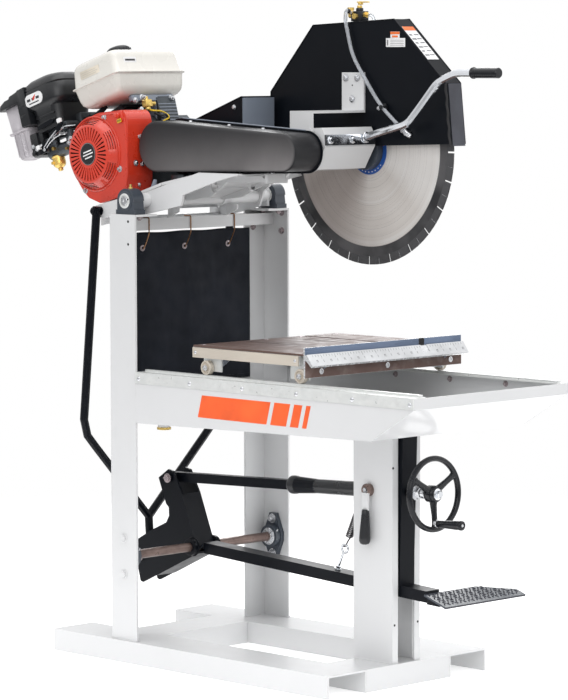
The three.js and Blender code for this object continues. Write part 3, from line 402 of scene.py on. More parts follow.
class Shader:
    """A thin wrapper that wires nodes around one Principled shader."""

    def __init__(self, name, color, roughness, metallic=0.0, **sockets):
        self.material = bpy.data.materials.new(name)
        self.material.use_nodes = True
        MATERIALS[name] = self.material
        self.tree = self.material.node_tree
        self.bsdf = self.tree.nodes["Principled BSDF"]
        self.bsdf.inputs["Base Color"].default_value = (*color, 1)
        self.bsdf.inputs["Roughness"].default_value = roughness
        self.bsdf.inputs["Metallic"].default_value = metallic
        for socket, value in sockets.items():
            self.bsdf.inputs[socket.replace("_", " ")].default_value = value
        self.place = self.node("ShaderNodeTexCoord").outputs["Object"]

    def node(self, kind, **values):
        """A new node; a value named in_NAME goes to its input NAME, and any other to the node itself."""
        made = self.tree.nodes.new(kind)
        for key, value in values.items():
            if key.startswith("in_"):
                made.inputs[key[3:].replace("_", " ")].default_value = value
            else:
                setattr(made, key, value)
        return made

    def link(self, source, target):
        """Wires an output to an input."""
        self.tree.links.new(source, target)

    def math(self, operation, first, second):
        """One arithmetic step on two outputs or numbers."""
        made = self.node("ShaderNodeMath", operation=operation)
        for socket, value in zip(made.inputs, (first, second)):
            if hasattr(value, "node"):
                self.link(value, socket)
            else:
                socket.default_value = value
        return made.outputs[0]

    def moved(self, offset=(0, 0, 0), stretch=(1, 1, 1)):
        """The object's coordinates, shifted and scaled."""
        mapping = self.node("ShaderNodeMapping")
        mapping.inputs["Location"].default_value = offset
        mapping.inputs["Scale"].default_value = stretch
        self.link(self.place, mapping.inputs["Vector"])
        return mapping.outputs["Vector"]

    def noise(self, scale, detail=3.0, stretch=(1, 1, 1)):
        """Soft noise fixed to the object."""
        noise = self.node("ShaderNodeTexNoise", in_Scale=scale, in_Detail=detail)
        self.link(self.moved(stretch=stretch), noise.inputs["Vector"])
        return noise.outputs["Fac"]

    def axis_value(self, axis):
        """One coordinate of the object, in metres."""
        split = self.node("ShaderNodeSeparateXYZ")
        self.link(self.place, split.inputs[0])
        return split.outputs[axis]

    def edges(self, distance=0.0016):
        """About 1 along sharp outer edges and 0 on flats."""
        bevel = self.node("ShaderNodeBevel", samples=4, in_Radius=distance)
        surface = self.node("ShaderNodeNewGeometry")
        across = self.node("ShaderNodeVectorMath", operation="DOT_PRODUCT")
        self.link(bevel.outputs["Normal"], across.inputs[0])
        self.link(surface.outputs["Normal"], across.inputs[1])
        return self.range(across.outputs["Value"], 1.0, 0.0, 0.85, 0.99)

    def ramp(self, source, stops):
        """A colour for each level of an output."""
        ramp = self.node("ShaderNodeValToRGB")
        while len(ramp.color_ramp.elements) < len(stops):
            ramp.color_ramp.elements.new(0.5)
        for element, (position, color) in zip(ramp.color_ramp.elements, stops):
            element.position = position
            element.color = (*color, 1)
        self.link(source, ramp.inputs["Fac"])
        return ramp.outputs["Color"]

    def mixed(self, amount, first, second):
        """A blend of two colours or colour outputs."""
        mix = self.node("ShaderNodeMix", data_type="RGBA")
        colors = [socket for socket in mix.inputs if socket.type == "RGBA"]
        self.link(amount, mix.inputs["Factor"])
        for socket, value in zip(colors, (first, second)):
            if hasattr(value, "node"):
                self.link(value, socket)
            else:
                socket.default_value = (*value, 1)
        return next(socket for socket in mix.outputs if socket.type == "RGBA")

    def range(self, source, low, high, from_low=0.3, from_high=0.7):
        """An output stretched from one span of values to another, and kept inside it."""
        mapped = self.node("ShaderNodeMapRange")
        mapped.inputs["From Min"].default_value = from_low
        mapped.inputs["From Max"].default_value = from_high
        mapped.inputs["To Min"].default_value = low
        mapped.inputs["To Max"].default_value = high
        self.link(source, mapped.inputs["Value"])
        return mapped.outputs["Result"]

    def color(self, source):
        """Sets the base colour."""
        self.link(source, self.bsdf.inputs["Base Color"])

    def roughness(self, source):
        """Sets the roughness."""
        self.link(source, self.bsdf.inputs["Roughness"])

    def bump(self, source, distance, strength=1.0):
        """Adds relief of a depth in metres on top of any there already."""
        bump = self.node("ShaderNodeBump", in_Distance=distance, in_Strength=strength)
        previous = self.bsdf.inputs["Normal"].links
        if previous:
            self.link(previous[0].from_socket, bump.inputs["Normal"])
        self.link(source, bump.inputs["Height"])
        self.link(bump.outputs["Normal"], self.bsdf.inputs["Normal"])


def scaled(color, factor):
    """A colour made lighter or darker."""
    return tuple(min(1.0, c * factor) for c in color)


def plain_floor():
    """Pale matt floor that fades out towards its rim, so that it has no horizon."""
    shader = Shader("pale_floor", (0.93, 0.93, 0.93), 0.7)
    shader.roughness(shader.range(shader.noise(3.0), 0.6, 0.8))
    shader.bsdf.inputs["Emission Color"].default_value = (1, 1, 1, 1)
    shader.bsdf.inputs["Emission Strength"].default_value = 0.44
    length = shader.node("ShaderNodeVectorMath", operation="LENGTH")
    shader.link(shader.place, length.inputs[0])
    shader.link(shader.range(length.outputs["Value"], 1.0, 0.0, 1.1, 3.6), shader.bsdf.inputs["Alpha"])
    return shader.material


def painted(name, color, roughness, coat, wear=0.25, peel=0.00004, chip=None, specular=0.5):
    """Enamel or powder coat: faint tone drift, orange peel, duller handled areas and rubbed edges."""
    shader = Shader(name, color, roughness, 0.0, Coat_Weight=coat, Coat_Roughness=0.08,
                    Specular_IOR_Level=specular)
    drift = shader.noise(4.0, 4.0)
    tone = shader.ramp(drift, [(0.3, scaled(color, 1 - 0.10 * wear)), (0.7, scaled(color, 1 + 0.05 * wear))])
    if chip:
        edges = shader.edges()
        patches = shader.range(shader.noise(38.0, 5.0), 0.0, 1.0, 0.45, 0.66)
        rubbed = shader.math("MULTIPLY", edges, patches)
        tone = shader.mixed(rubbed, tone, chip)
    shader.color(tone)
    shader.roughness(shader.range(shader.noise(17.0, 5.0), roughness * 0.85, roughness * 1.3))
    shader.bump(shader.noise(420.0, 1.0), peel, 0.35)


def plated(name, color, roughness, grain=(1, 1, 1), grain_scale=160.0, metallic=1.0, blotch=0.12):
    """Bare or plated metal: drawn grain, blotchy tone and uneven roughness."""
    shader = Shader(name, color, roughness, metallic)
    lines = shader.noise(grain_scale, 4.0, grain)
    tone = shader.noise(9.0, 5.0)
    shader.color(shader.ramp(tone, [(0.25, scaled(color, 1 - blotch)),
                                    (0.75, scaled(color, 1 + blotch * 0.6))]))
    shader.roughness(shader.range(lines, roughness * 0.75, roughness * 1.35))
    shader.bump(lines, 0.00003, 0.25)


def galvanised():
    """Zinc plating: soft crystalline patches, faint drawn lines and dull stains."""
    shader = Shader("galvanised", (0.7, 0.72, 0.71), 0.36, 0.45)
    cells = shader.node("ShaderNodeTexVoronoi", in_Scale=90.0)
    shader.link(shader.place, cells.inputs["Vector"])
    crystals = shader.ramp(cells.outputs["Color"], [(0.1, (0.74, 0.755, 0.74)), (0.9, (0.79, 0.80, 0.785))])
    stains = shader.range(shader.noise(11.0, 4.0), 0.0, 0.2, 0.45, 0.8)
    shader.color(shader.mixed(stains, crystals, (0.60, 0.63, 0.66)))
    shader.roughness(shader.range(shader.noise(60.0, 4.0), 0.26, 0.48))
    shader.bump(shader.noise(240.0, 3.0, (0.15, 1, 1)), 0.00004, 0.3)


def moulded(name, color, roughness, grain=900.0, depth=0.00005, **sockets):
    """Injection-moulded plastic or rubber with a fine texture."""
    shader = Shader(name, color, roughness, 0.0, **sockets)
    shader.color(shader.ramp(shader.noise(12.0, 4.0),
                             [(0.3, scaled(color, 0.85)), (0.7, scaled(color, 1.2))]))
    shader.roughness(shader.range(shader.noise(35.0, 4.0), roughness * 0.85, roughness * 1.2))
    shader.bump(shader.noise(grain, 2.0), depth, 0.5)


def rubber_cloth():
    """Rubberised cloth: a fine plain weave under a dull coating, with dusty wipe marks."""
    shader = Shader("black_cloth", (0.012, 0.014, 0.02), 0.6, 0.0, Sheen_Weight=0.04, Sheen_Roughness=0.5,
                    Specular_IOR_Level=0.2)
    warp = shader.node("ShaderNodeTexWave", in_Scale=260.0, bands_direction="Z")
    weft = shader.node("ShaderNodeTexWave", in_Scale=260.0, bands_direction="Y")
    for wave in (warp, weft):
        shader.link(shader.place, wave.inputs["Vector"])
    shader.bump(shader.math("MULTIPLY", warp.outputs["Fac"], weft.outputs["Fac"]), 0.0002, 0.4)
    cloth = shader.ramp(shader.noise(7.0, 5.0), [(0.3, (0.003, 0.0045, 0.009)),
                                                 (0.75, (0.010, 0.013, 0.021))])
    dust = shader.range(shader.noise(26.0, 6.0, (1, 1, 0.2)), 0.0, 0.25, 0.55, 0.85)
    shader.color(shader.mixed(dust, cloth, (0.035, 0.040, 0.052)))
    shader.roughness(shader.range(shader.noise(22.0, 5.0), 0.5, 0.75))


def blade_steel():
    """Brushed core with fine rings, a dark and a bright fan of painted reflection, and a dark rim of
    segments.
    """
    shader = Shader("blade_steel", (0.6, 0.57, 0.54), 0.32, 0.8, Anisotropic=0.8)
    tangent = shader.node("ShaderNodeTangent", direction_type="RADIAL", axis="Y")
    shader.link(tangent.outputs[0], shader.bsdf.inputs["Tangent"])
    centre = at(ARBOR[0], BLADE_Y, ARBOR[1])
    flat = shader.moved((-centre.x, 0, -centre.z))
    split = shader.node("ShaderNodeSeparateXYZ")
    shader.link(flat, split.inputs[0])
    across, up = split.outputs["X"], split.outputs["Z"]
    squared = shader.math("ADD", shader.math("MULTIPLY", across, across), shader.math("MULTIPLY", up, up))
    radius = shader.math("SQRT", squared, 0.0)
    rings = shader.node("ShaderNodeTexNoise", in_Scale=1.0, in_Detail=4.0, noise_dimensions="1D")
    shader.link(shader.math("MULTIPLY", radius, 900.0), rings.inputs["W"])
    broad = shader.node("ShaderNodeTexNoise", in_Scale=1.0, in_Detail=2.0, noise_dimensions="1D")
    shader.link(shader.math("MULTIPLY", radius, 55.0), broad.inputs["W"])
    core = shader.ramp(broad.outputs["Fac"], [(0.3, (0.70, 0.66, 0.62)), (0.55, (0.74, 0.70, 0.66)),
                                              (0.7, (0.78, 0.75, 0.72))])
    stain = shader.range(shader.noise(6.0, 5.0), 0.0, 0.35, 0.45, 0.75)
    core = shader.mixed(stain, core, (0.40, 0.33, 0.29))
    # The two fans are painted reflection: a dark fan towards the lower rear and a bright one towards the
    # front, where brushed steel would mirror its surroundings.
    painted_dark_reflection_fan = ((-0.77, -0.64), 0.97, 0.66, 0.62, (0.27, 0.215, 0.195))
    painted_bright_reflection_fan = ((0.98, -0.2), 0.99, 0.86, 0.5, (0.93, 0.92, 0.90))
    for (ahead, above), narrow, wide, most, tint in (painted_dark_reflection_fan, painted_bright_reflection_fan):
        along = shader.math("ADD", shader.math("MULTIPLY", across, ahead), shader.math("MULTIPLY", up, above))
        fan = shader.range(shader.math("DIVIDE", along, radius), 0.0, most, wide, narrow)
        core = shader.mixed(fan, core, tint)
    rim = shader.range(radius, 0.0, 1.0, 0.2560, 0.2572)
    grit = shader.ramp(shader.noise(9.0, 4.0), [(0.35, (0.022, 0.022, 0.024)), (0.7, (0.11, 0.108, 0.112))])
    shader.color(shader.mixed(rim, core, grit))
    shader.link(shader.range(radius, 0.42, 0.15, 0.2560, 0.2572), shader.bsdf.inputs["Metallic"])
    shine = shader.range(rings.outputs["Fac"], 0.26, 0.42)
    shader.roughness(shader.math("MAXIMUM", shine, shader.range(radius, 0.0, 0.5, 0.2560, 0.2572)))
    shader.bump(rings.outputs["Fac"], 0.00004, 0.35)


def ruled_steel():
    """Polished steel of the fence, drawn lengthwise."""
    plated("ruled_steel", (0.72, 0.73, 0.74), 0.24, (0.2, 1, 1), 120.0, 0.6, 0.05)


def deck_board():
    """Worn reddish-brown coating on steel, scratched lengthwise, with concrete dust."""
    shader = Shader("deck_brown", (0.10, 0.055, 0.045), 0.5, 0.0, Specular_IOR_Level=0.35)
    tone = shader.ramp(shader.noise(5.0, 5.0), [(0.3, (0.085, 0.05, 0.042)), (0.7, (0.15, 0.095, 0.08))])
    scratches = shader.range(shader.noise(30.0, 6.0, (0.12, 1, 1)), 0.0, 0.6, 0.52, 0.78)
    shader.color(shader.mixed(scratches, tone, (0.26, 0.21, 0.19)))
    shader.roughness(shader.range(shader.noise(26.0, 5.0), 0.4, 0.65))
    shader.bump(shader.noise(90.0, 5.0, (0.2, 1, 1)), 0.0002, 0.4)


def heat_stained():
    """Brown lacquered shaft with a long highlight and rusty blotches."""
    shader = Shader("brown_steel", (0.17, 0.11, 0.09), 0.3, 0.55, Coat_Weight=0.2, Coat_Roughness=0.2)
    tone = shader.ramp(shader.noise(16.0, 6.0), [(0.3, (0.11, 0.07, 0.06)), (0.55, (0.20, 0.14, 0.12)),
                                                 (0.75, (0.28, 0.17, 0.12))])
    shader.color(tone)
    shader.roughness(shader.range(shader.noise(70.0, 4.0), 0.24, 0.5))
    shader.bump(shader.noise(200.0, 3.0, (1, 0.2, 1)), 0.00005, 0.3)


def charcoal_with_painted_sheen():
    """Black powder coat whose near face carries a painted pale sheen of reflected light, strongest low down
    and towards the blade.
    """
    shader = Shader("charcoal_paint", (0.04, 0.04, 0.042), 0.36, 0.0, Coat_Weight=0.04, Coat_Roughness=0.15,
                    Specular_IOR_Level=0.25)
    # The pale tone is painted reflection: it grows towards the bottom, towards the blade and on faces turned
    # to -Y, with a little noise.
    painted_sheen_height = shader.range(shader.axis_value("Z"), 1.0, 0.0, 1.325, 1.462)
    lengthwise = shader.range(shader.axis_value("X"), 0.45, 1.1, -0.3, 0.22)
    surface = shader.node("ShaderNodeNewGeometry")
    normal = shader.node("ShaderNodeSeparateXYZ")
    shader.link(surface.outputs["Normal"], normal.inputs[0])
    facing = shader.range(normal.outputs["Y"], 1.0, 0.0, -0.97, -0.55)
    thickness = shader.math("POWER", painted_sheen_height, 1.3)
    on_face = shader.math("MULTIPLY", lengthwise, facing)
    painted_sheen = shader.math("MULTIPLY", thickness, on_face)
    patchy = shader.math("MULTIPLY", painted_sheen, shader.range(shader.noise(7.0, 5.0), 0.8, 1.15))
    tone = shader.mixed(patchy, (0.016, 0.016, 0.018), (0.19, 0.18, 0.18))
    shader.color(tone)
    shader.roughness(shader.range(shader.noise(24.0, 5.0), 0.3, 0.5))
    shader.bump(shader.noise(420.0, 1.0), 0.00004, 0.35)


def make_materials():
    """Make every material; each one enters itself in MATERIALS."""
    painted("white_paint", (0.665, 0.67, 0.675), 0.34, 0.35, chip=(0.45, 0.44, 0.42))
    painted("black_paint", (0.0036, 0.0048, 0.0076), 0.34, 0.0, 1.5, chip=(0.045, 0.045, 0.05), specular=0.13)
    charcoal_with_painted_sheen()
    moulded("satin_grey", (0.115, 0.12, 0.145), 0.32, 300.0, 0.00001)
    moulded("rule_white", (0.58, 0.59, 0.60), 0.38, 40.0, 0.00002)
    plated("side_strip", (0.62, 0.56, 0.48), 0.42, (0.08, 1, 1), 60.0, 0.25, 0.05)
    plated("bluish_zinc", (0.42, 0.46, 0.54), 0.3, (1, 1, 0.1), 50.0, 0.4, 0.05)
    plated("blue_steel", (0.15, 0.20, 0.30), 0.3, (1, 0.08, 1), 40.0, 0.4, 0.08)
    plated("old_bolt", (0.40, 0.34, 0.35), 0.28, (1, 1, 1), 60.0, 0.5, 0.05)
    plated("tread_steel", (0.03, 0.03, 0.04), 0.6, (1, 1, 1), 80.0, 0.0, 0.1)
    moulded("gloss_black", (0.0045, 0.0055, 0.008), 0.24, 60.0, 0.00002, Coat_Weight=0.12,
            Specular_IOR_Level=0.32)
    moulded("decal_orange", (0.86, 0.11, 0.018), 0.4, 80.0, 0.00001)
    plated("spring_wire", (0.10, 0.095, 0.10), 0.3, (1, 1, 1), 60.0, 0.7, 0.05)
    moulded("grey_ink", (0.16, 0.16, 0.17), 0.5, 60.0, 0.00001)
    moulded("segment_grit", (0.055, 0.055, 0.058), 0.5, 700.0, 0.0003, Specular_IOR_Level=0.6)
    painted("dark_cast", (0.040, 0.050, 0.066), 0.42, 0.2, 1.5, 0.0002, chip=(0.12, 0.13, 0.15))
    galvanised()
    plated("bright_steel", (0.66, 0.67, 0.69), 0.26)
    heat_stained()
    plated("chrome", (0.72, 0.74, 0.77), 0.13, blotch=0.06)
    painted("red_paint", (0.64, 0.040, 0.016), 0.28, 0.6, 0.7, chip=(0.40, 0.02, 0.01))
    painted("cream_paint", (0.70, 0.68, 0.63), 0.26, 0.4, 0.4)
    moulded("black_plastic", (0.009, 0.010, 0.012), 0.3, Specular_IOR_Level=0.5)
    moulded("milky_plastic", (0.60, 0.57, 0.60), 0.35, 500.0, Transmission_Weight=0.25)
    moulded("rubber", (0.012, 0.012, 0.013), 0.6, 500.0, 0.0001)
    rubber_cloth()
    plated("brass", (0.86, 0.60, 0.17), 0.24, metallic=0.6, blotch=0.2)
    plated("old_brass", (0.42, 0.30, 0.10), 0.34, blotch=0.5)
    plated("copper_wire", (0.40, 0.22, 0.12), 0.3, blotch=0.4)
    moulded("clear_vinyl", (0.60, 0.63, 0.67), 0.12, Transmission_Weight=0.55)
    plated("engine_alloy", (0.10, 0.11, 0.12), 0.42, blotch=0.3)
    painted("grey_bracket", (0.20, 0.23, 0.28), 0.36, 0.3, 1.0)
    # Near-black used as painted shade in holes, the bore, the fence's notch and behind the recoil cover; also
    # the own colour of the deck seams and set screws.
    moulded("dark_hollow", (0.004, 0.004, 0.005), 0.7)
    moulded("label_white", (0.78, 0.78, 0.78), 0.4, 60.0, 0.00001)
    moulded("label_orange", (0.80, 0.16, 0.025), 0.4, 60.0, 0.00001)
    moulded("label_beige", (0.66, 0.60, 0.50), 0.4, 60.0, 0.00001)
    moulded("ink", (0.03, 0.03, 0.034), 0.5, 60.0, 0.00001)
    moulded("signal_yellow", (0.78, 0.52, 0.02), 0.4)
    painted("flange_blue", (0.010, 0.075, 0.32), 0.35, 0.4, 0.6)
    painted("warm_white", (0.55, 0.53, 0.47), 0.4, 0.2, 1.0)
    blade_steel()
    ruled_steel()
    deck_board()


NODE_FINISH = {"blade": "blade_steel", "cart_deck": "deck_brown", "fence": "ruled_steel",
               "curtain_hook_near": "copper_wire", "curtain_hook_mid": "copper_wire",
               "curtain_hook_far": "copper_wire", "carburettor": "old_brass", "engine_block": "engine_alloy"}
EDGE_SOFTNESS = {"white_paint": 1.2, "black_paint": 1.0, "dark_cast": 1.2, "galvanised": 0.5,
                 "red_paint": 7.0, "black_plastic": 1.5, "engine_alloy": 3.0,
                 "brass": 0.8, "chrome": 0.6, "bright_steel": 0.5}


def dress_cad_nodes():
    """Every CAD node gets its finish, and painted or cast ones a small round on their edges."""
    slots = {entry["node"]: entry["material_slot"] for entry in frame["record"]["subparts"]}
    for name, node in frame["nodes"].items():
        node.data.materials.clear()
        node.data.materials.append(MATERIALS[NODE_FINISH.get(name, slots[name])])
        softness = EDGE_SOFTNESS.get(slots[name])
        if softness and name != "blade":
            bevel = node.modifiers.new("edges", "BEVEL")
            bevel.width = softness * MM
            bevel.segments = 3 if softness > 2 else 2
            bevel.limit_method = "ANGLE"
            bevel.angle_limit = math.radians(34)
            bevel.harden_normals = False


# ---------------------------------------------------------------- engine, in the engine's own frame
SHROUD_FACE = -224
RECOIL_FACE = -250
TANK_MIDDLE, TANK_HALF = (36, -78), (98, 132)
FLOAT_BOWL_X, FLOAT_BOWL_Y = -196, -182


def perforated_shell(form, profile, cells, is_hole, wall):
    """A shell of revolution about the crank axis (Y), with openings where is_hole(band, cell) says."""
    turns = full_turn(cells)[:-1]
    outer, inner = ([[form.mesh.verts.new((r * math.cos(t), y + depth, r * math.sin(t))) for t in turns]
                     for r, y in profile] for depth in (0, wall))
    bands = len(profile) - 1

    def filled(band, cell):
        """Whether a cell of the shell has metal."""
        return 0 <= band < bands and not is_hole(band, cell % cells)

    def face(*corners):
        """One flat piece of the shell."""
        form.mesh.faces.new(corners)

    for band in range(bands):
        for cell in range(cells):
            after = (cell + 1) % cells
            if not filled(band, cell):
                continue
            face(outer[band][cell], outer[band][after], outer[band + 1][after], outer[band + 1][cell])
            face(inner[band][cell], inner[band + 1][cell], inner[band + 1][after], inner[band][after])
            for edge, beside in ((cell, cell - 1), (after, cell + 1)):
                if not filled(band, beside):
                    face(outer[band][edge], outer[band + 1][edge], inner[band + 1][edge], inner[band][edge])
            for ring, beside in ((band, band - 1), (band + 1, band + 1)):
                if not filled(beside, cell):
                    face(outer[ring][cell], outer[ring][after], inner[ring][after], inner[ring][cell])


def build_recoil_cover():
    """The starter cover: a ring of radial slots, and groups of arched slots on its sloping skirt."""
    skirt = [(77, -249.4), (80.5, -247.6), (82.5, -246), (84.5, -243.6), (86.5, -241), (88.5, -238.4),
             (90.5, -235.8), (92.5, -233.2), (94.2, -230.8), (96, -228), (97.6, -224.4)]
    profile = [(31, RECOIL_FACE), (38, RECOIL_FACE), (73, RECOIL_FACE)] + skirt
    cells_per_slot = 8
    cells = 36 * cells_per_slot
    slot_groups = (75, 10, -48, 135, 190, 250)
    half_span = 17

    def is_hole(band, cell):
        """Whether a cell belongs to one of the slots."""
        if band == 1:
            return cell % cells_per_slot < 3
        if band in (4, 6, 8, 10):
            angle = 360 * (cell + 0.5) / cells
            return any(abs((angle - middle + 180) % 360 - 180) < half_span for middle in slot_groups)
        return False

    form = Form(ENGINE)
    perforated_shell(form, profile, cells, is_hole, 3.0)
    cover = form.make("recoil_shell", "red_paint", "head", crease=40)
    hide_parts("recoil_cover")


def build_cooling_fan():
    """The fan that shows through the recoil cover's slots, near-black both for its own colour and as painted
    shade inside the cover.
    """
    # The full disc behind the vanes is partly painted shade: it makes the slots read dark.
    fan = Form(ENGINE)
    fan.rod((0, -236, 0), (0, SHROUD_FACE - 0.5, 0), 90, sides=48)
    for turn in full_turn(16)[:-1]:
        start = (34 * math.cos(turn), -238, 34 * math.sin(turn))
        end = (76 * math.cos(turn + 0.25), -238, 76 * math.sin(turn + 0.25))
        fan.rod(start, end, 2.2, sides=6)
    fan.make("cooling_fan", "dark_hollow", "head")


def build_recoil_badge():
    """Black badge in the middle of the recoil cover, with a bright rim and three plain bars."""
    plate = [(0, 0), (30.6, 0), (30.6, 4.2), (29.4, 5.2), (27, 5.2), (26.4, 4.6), (0, 4.6)]
    Form(ENGINE).lathe((0, -246, 0), NEARWARD, plate, 48).make("recoil_badge", "black_plastic", "head")
    rim = [(29.0, 0), (30.0, 0), (30.0, 0.9), (29.0, 0.9), (29.0, 0)]
    Form(ENGINE).lathe((0, -250.4, 0), NEARWARD, rim, 48).make("recoil_badge_rim", "chrome", "head")
    bars = Form(ENGINE)
    for height, reach in ((7, 17), (-1, 21), (-10, 15)):
        bars.block((-reach, -251.0, height - 1.6), (reach, -250.2, height + 1.6), 0.3)
    bars.make("recoil_badge_bars", "label_white", "head")


def build_recoil_seat():
    """The lip round the recoil cover and its four screws."""
    lip = [(98, 0), (103, 0), (103, 2.2), (101.5, 3.4), (98.6, 3.4), (98.2, 0)]
    Form(ENGINE).lathe((0, SHROUD_FACE + 0.5, 0), NEARWARD, lip, 72).make("recoil_seat", "red_paint", "head")
    screws = Form(ENGINE)
    for degrees in (52, -38, 142, 232):
        x, z = on_circle((0, 0), 108, math.radians(degrees))
        screws.bolt((x, SHROUD_FACE, z), NEARWARD, 9, 6, 1.6)
    screws.make("recoil_screws", "bright_steel", "head")


def build_shroud_details():
    """Pressed ridges and the screws of the red shroud."""
    ridges = Form(ENGINE)
    for line in ([(66, -128), (96, -118), (112, -84), (128, -20), (142, 34), (143, 62)],
                 [(50, 95), (90, 88), (132, 78)]):
        ridges.tube([(x, SHROUD_FACE - 0.5, z) for x, z in line], 2.6, 8)
    ridges.make("shroud_ridges", "red_paint", "head")
    screws = Form(ENGINE)
    screws.bolts([(128, -180, -66), (141, -180, 8)], FORWARD, 9, 5)
    screws.bolts([(100, -180, -116), (-62, -180, 88)], NEARWARD, 9, 5)
    screws.bolts([(126, -150, -62), (126, -200, -62)], (0.96, 0, -0.25), 9, 5, 1.5)
    screws.make("shroud_screws", "bright_steel", "head")


def build_stop_switch():
    """Red stop switch on the shroud's shoulder, with its yellow tag."""
    Form(ENGINE).block((112, -228, 56), (140, -206, 84), 3).make("stop_switch_box", "red_paint", "head")
    knob = Form(ENGINE)
    knob.rod((126, -228, 72), (126, -236, 72), 8, sides=20, soften=1.5)
    knob.block((123, -243, 66), (129, -234, 78), 1.2)
    knob.make("stop_switch_knob", "red_paint", "head")
    Form(ENGINE).block((119, -231, 52), (136, -229.6, 62), 0.4).make("switch_tag", "signal_yellow", "head")
    marks = Form(ENGINE)
    for x in (122, 127, 132):
        marks.block((x, -231.6, 54), (x + 2.4, -230.9, 60), 0.2)
    marks.make("switch_tag_marks", "ink", "head")


def build_fuel_tank():
    """Two pressed halves folded together at a flange; the upper one has a soft crown."""
    def ring(z, in_x, in_y):
        low = (TANK_MIDDLE[0] - TANK_HALF[0] + in_x, TANK_MIDDLE[1] - TANK_HALF[1] + in_y)
        high = (TANK_MIDDLE[0] + TANK_HALF[0] - in_x, TANK_MIDDLE[1] + TANK_HALF[1] - in_y)
        return [(x, y, z) for x, y in rounded_rectangle(low, high, 16, 7)]

    lower_half = [(133, 40, 36), (135, 32, 28), (139, 23, 20), (147, 15, 13), (160, 11, 9), (188, 6.5, 5.5),
                  (191, 6, 5), (192.2, 4, 3.4)]
    flange = [(192.8, 0.5, 0.5), (193.6, 0, 0), (195.4, 0, 0), (196.2, 0.5, 0.5)]
    upper_half = [(196.6, 5, 5), (198, 6, 6), (240, 10, 9.5), (250, 12, 11.5), (256, 15, 14.5),
                  (261, 20.5, 20),
                  (264, 28, 28), (267, 42, 46), (269.4, 60, 70)]
    tank = Form(ENGINE)
    tank.skin([ring(*step) for step in lower_half + flange + upper_half])
    shell = tank.make("fuel_tank_shell", "cream_paint", "head", crease=50)
    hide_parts("fuel_tank")


def build_fuel_cap():
    """Ribbed black screw cap on the tank's neck."""
    x, y = 24, -80
    neck = [(0, 0), (38, 0), (38, 3), (35, 4.6), (0, 4.6)]
    Form(ENGINE).lathe((x, y, 266), UPWARD, neck, 40).make("tank_neck", "cream_paint", "head")
    cap = Form(ENGINE)
    profile = [(0, 0.5), (33, 0.5), (34, 2), (34, 17), (32.5, 20), (27, 24), (12, 28), (0, 29.6)]
    cap.lathe((x, y, 270.5), UPWARD, profile, 40)
    for turn in full_turn(20)[:-1]:
        rib_x, rib_y = on_circle((x, y), 33.6, turn)
        cap.rod((rib_x, rib_y, 273), (rib_x, rib_y, 288), 1.6, 1.2, 8)
    lid = cap.make("fuel_cap_cover", "black_plastic", "fuel_cap", crease=40)
    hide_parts("fuel_cap")


def build_tank_labels():
    """A beige notice with plain lines on the near side, and a small white patch on the front."""
    face_y = TANK_MIDDLE[1] - TANK_HALF[1] + 7.4
    notice = Form(ENGINE).block((-18, face_y, 205), (62, face_y + 0.8, 236), 0.3)
    notice.make("tank_notice", "label_beige", "head")
    lines = Form(ENGINE)
    lines.block((-16, face_y - 0.5, 206), (60, face_y + 0.2, 208), 0.2)
    for row in range(4):
        z = 213 + row * 5.5
        lines.block((-14, face_y - 0.4, z), (56 - 8 * (row % 2), face_y + 0.2, z + 1), 0.1)
    lines.make("tank_notice_lines", "warm_white", "head")
    side_x = TANK_MIDDLE[0] + TANK_HALF[0] - 9.3
    Form(ENGINE).block((side_x, -165, 222), (side_x + 1, -119, 238), 0.3).make("tank_patch", "label_white",
                                                                               "head")
    stripe = Form(ENGINE).block((side_x + 0.5, -160, 227), (side_x + 1.4, -124, 232), 0.2)
    stripe.make("tank_patch_stripe", "ink", "head")


def build_tank_bracket():
    """Grey cast and pressed parts between the tank and the cylinder, with their bolts."""
    bracket = Form(ENGINE)
    bracket.block((96, -150, 118), (110, -10, 134), 3)
    bracket.block((60, -16, 118), (110, 6, 136), 3)
    bracket.plate([(62, 62), (104, 62), (110, 132), (56, 132), (70, 96)], "Y", -10, 6, 2)
    bracket.plate([(58, 62), (96, 62), (108, 120), (86, 122)], "Y", -62, -52, 2)
    for step in range(6):
        z = 60 + step * 9
        bracket.plate([(62, z), (114, z), (114, z + 3), (62, z + 3)], "Y", -58, 6, 0.8)
    bracket.make("tank_bracket", "grey_bracket", "head")
    bolts = Form(ENGINE)
    bolts.bolts([(110.5, -6, 122), (110.5, -112, 126)], FORWARD, 12, 7, 1.3, 5)
    bolts.bolt((110.5, -140, 118), (1, 0, -0.2), 10, 6, 1.4)
    bolts.rod((108, -128, 92), (118, -128, 92), 7, sides=16, soften=1)
    bolts.make("bracket_bolts", "bright_steel", "head")


def build_fuel_cock():
    """Brass fuel cock under the tank, with a yellow lead and two black ones."""
    cock = Form(ENGINE)
    cock.block((104, -112, 98), (122, -88, 118), 2)
    cock.rod((112, -100, 118), (112, -100, 128), 6, sides=6)
    cock.rod((112, -88, 108), (112, -72, 108), 5, 6.5, 12, 0.6)
    cock.rod((112, -100, 99), (112, -100, 90), 7.5, sides=16, soften=1.2)
    cock.make("fuel_cock", "brass", "head")
    yellow = smooth_path([(112, -100, 92), (121, -92, 86), (123, -70, 84), (120, -50, 80), (124, -40, 66),
                          (118, -60, 56)], 24)
    Form(ENGINE).tube(yellow, 2.4, 8).make("yellow_lead", "signal_yellow", "head")
    thick = smooth_path([(124, -90, 78), (126, -70, 70), (124, -52, 74), (121, -40, 62), (112, -30, 52)], 20)
    thin = smooth_path([(126, -206, 66), (126, -180, 74), (122, -140, 84), (118, -110, 86)], 20)
    Form(ENGINE).tube(thick, 3.4, 8).tube(thin, 2.8, 8).make("black_leads", "rubber", "head")


def rounded_rings(steps, corners):
    """Rings for a skin: each step is (height, lowest corner, highest corner, corner radius)."""
    return [[(x, y, z) for x, y in rounded_rectangle(low, high, radius, corners)] for z, low, high,
            radius in steps]


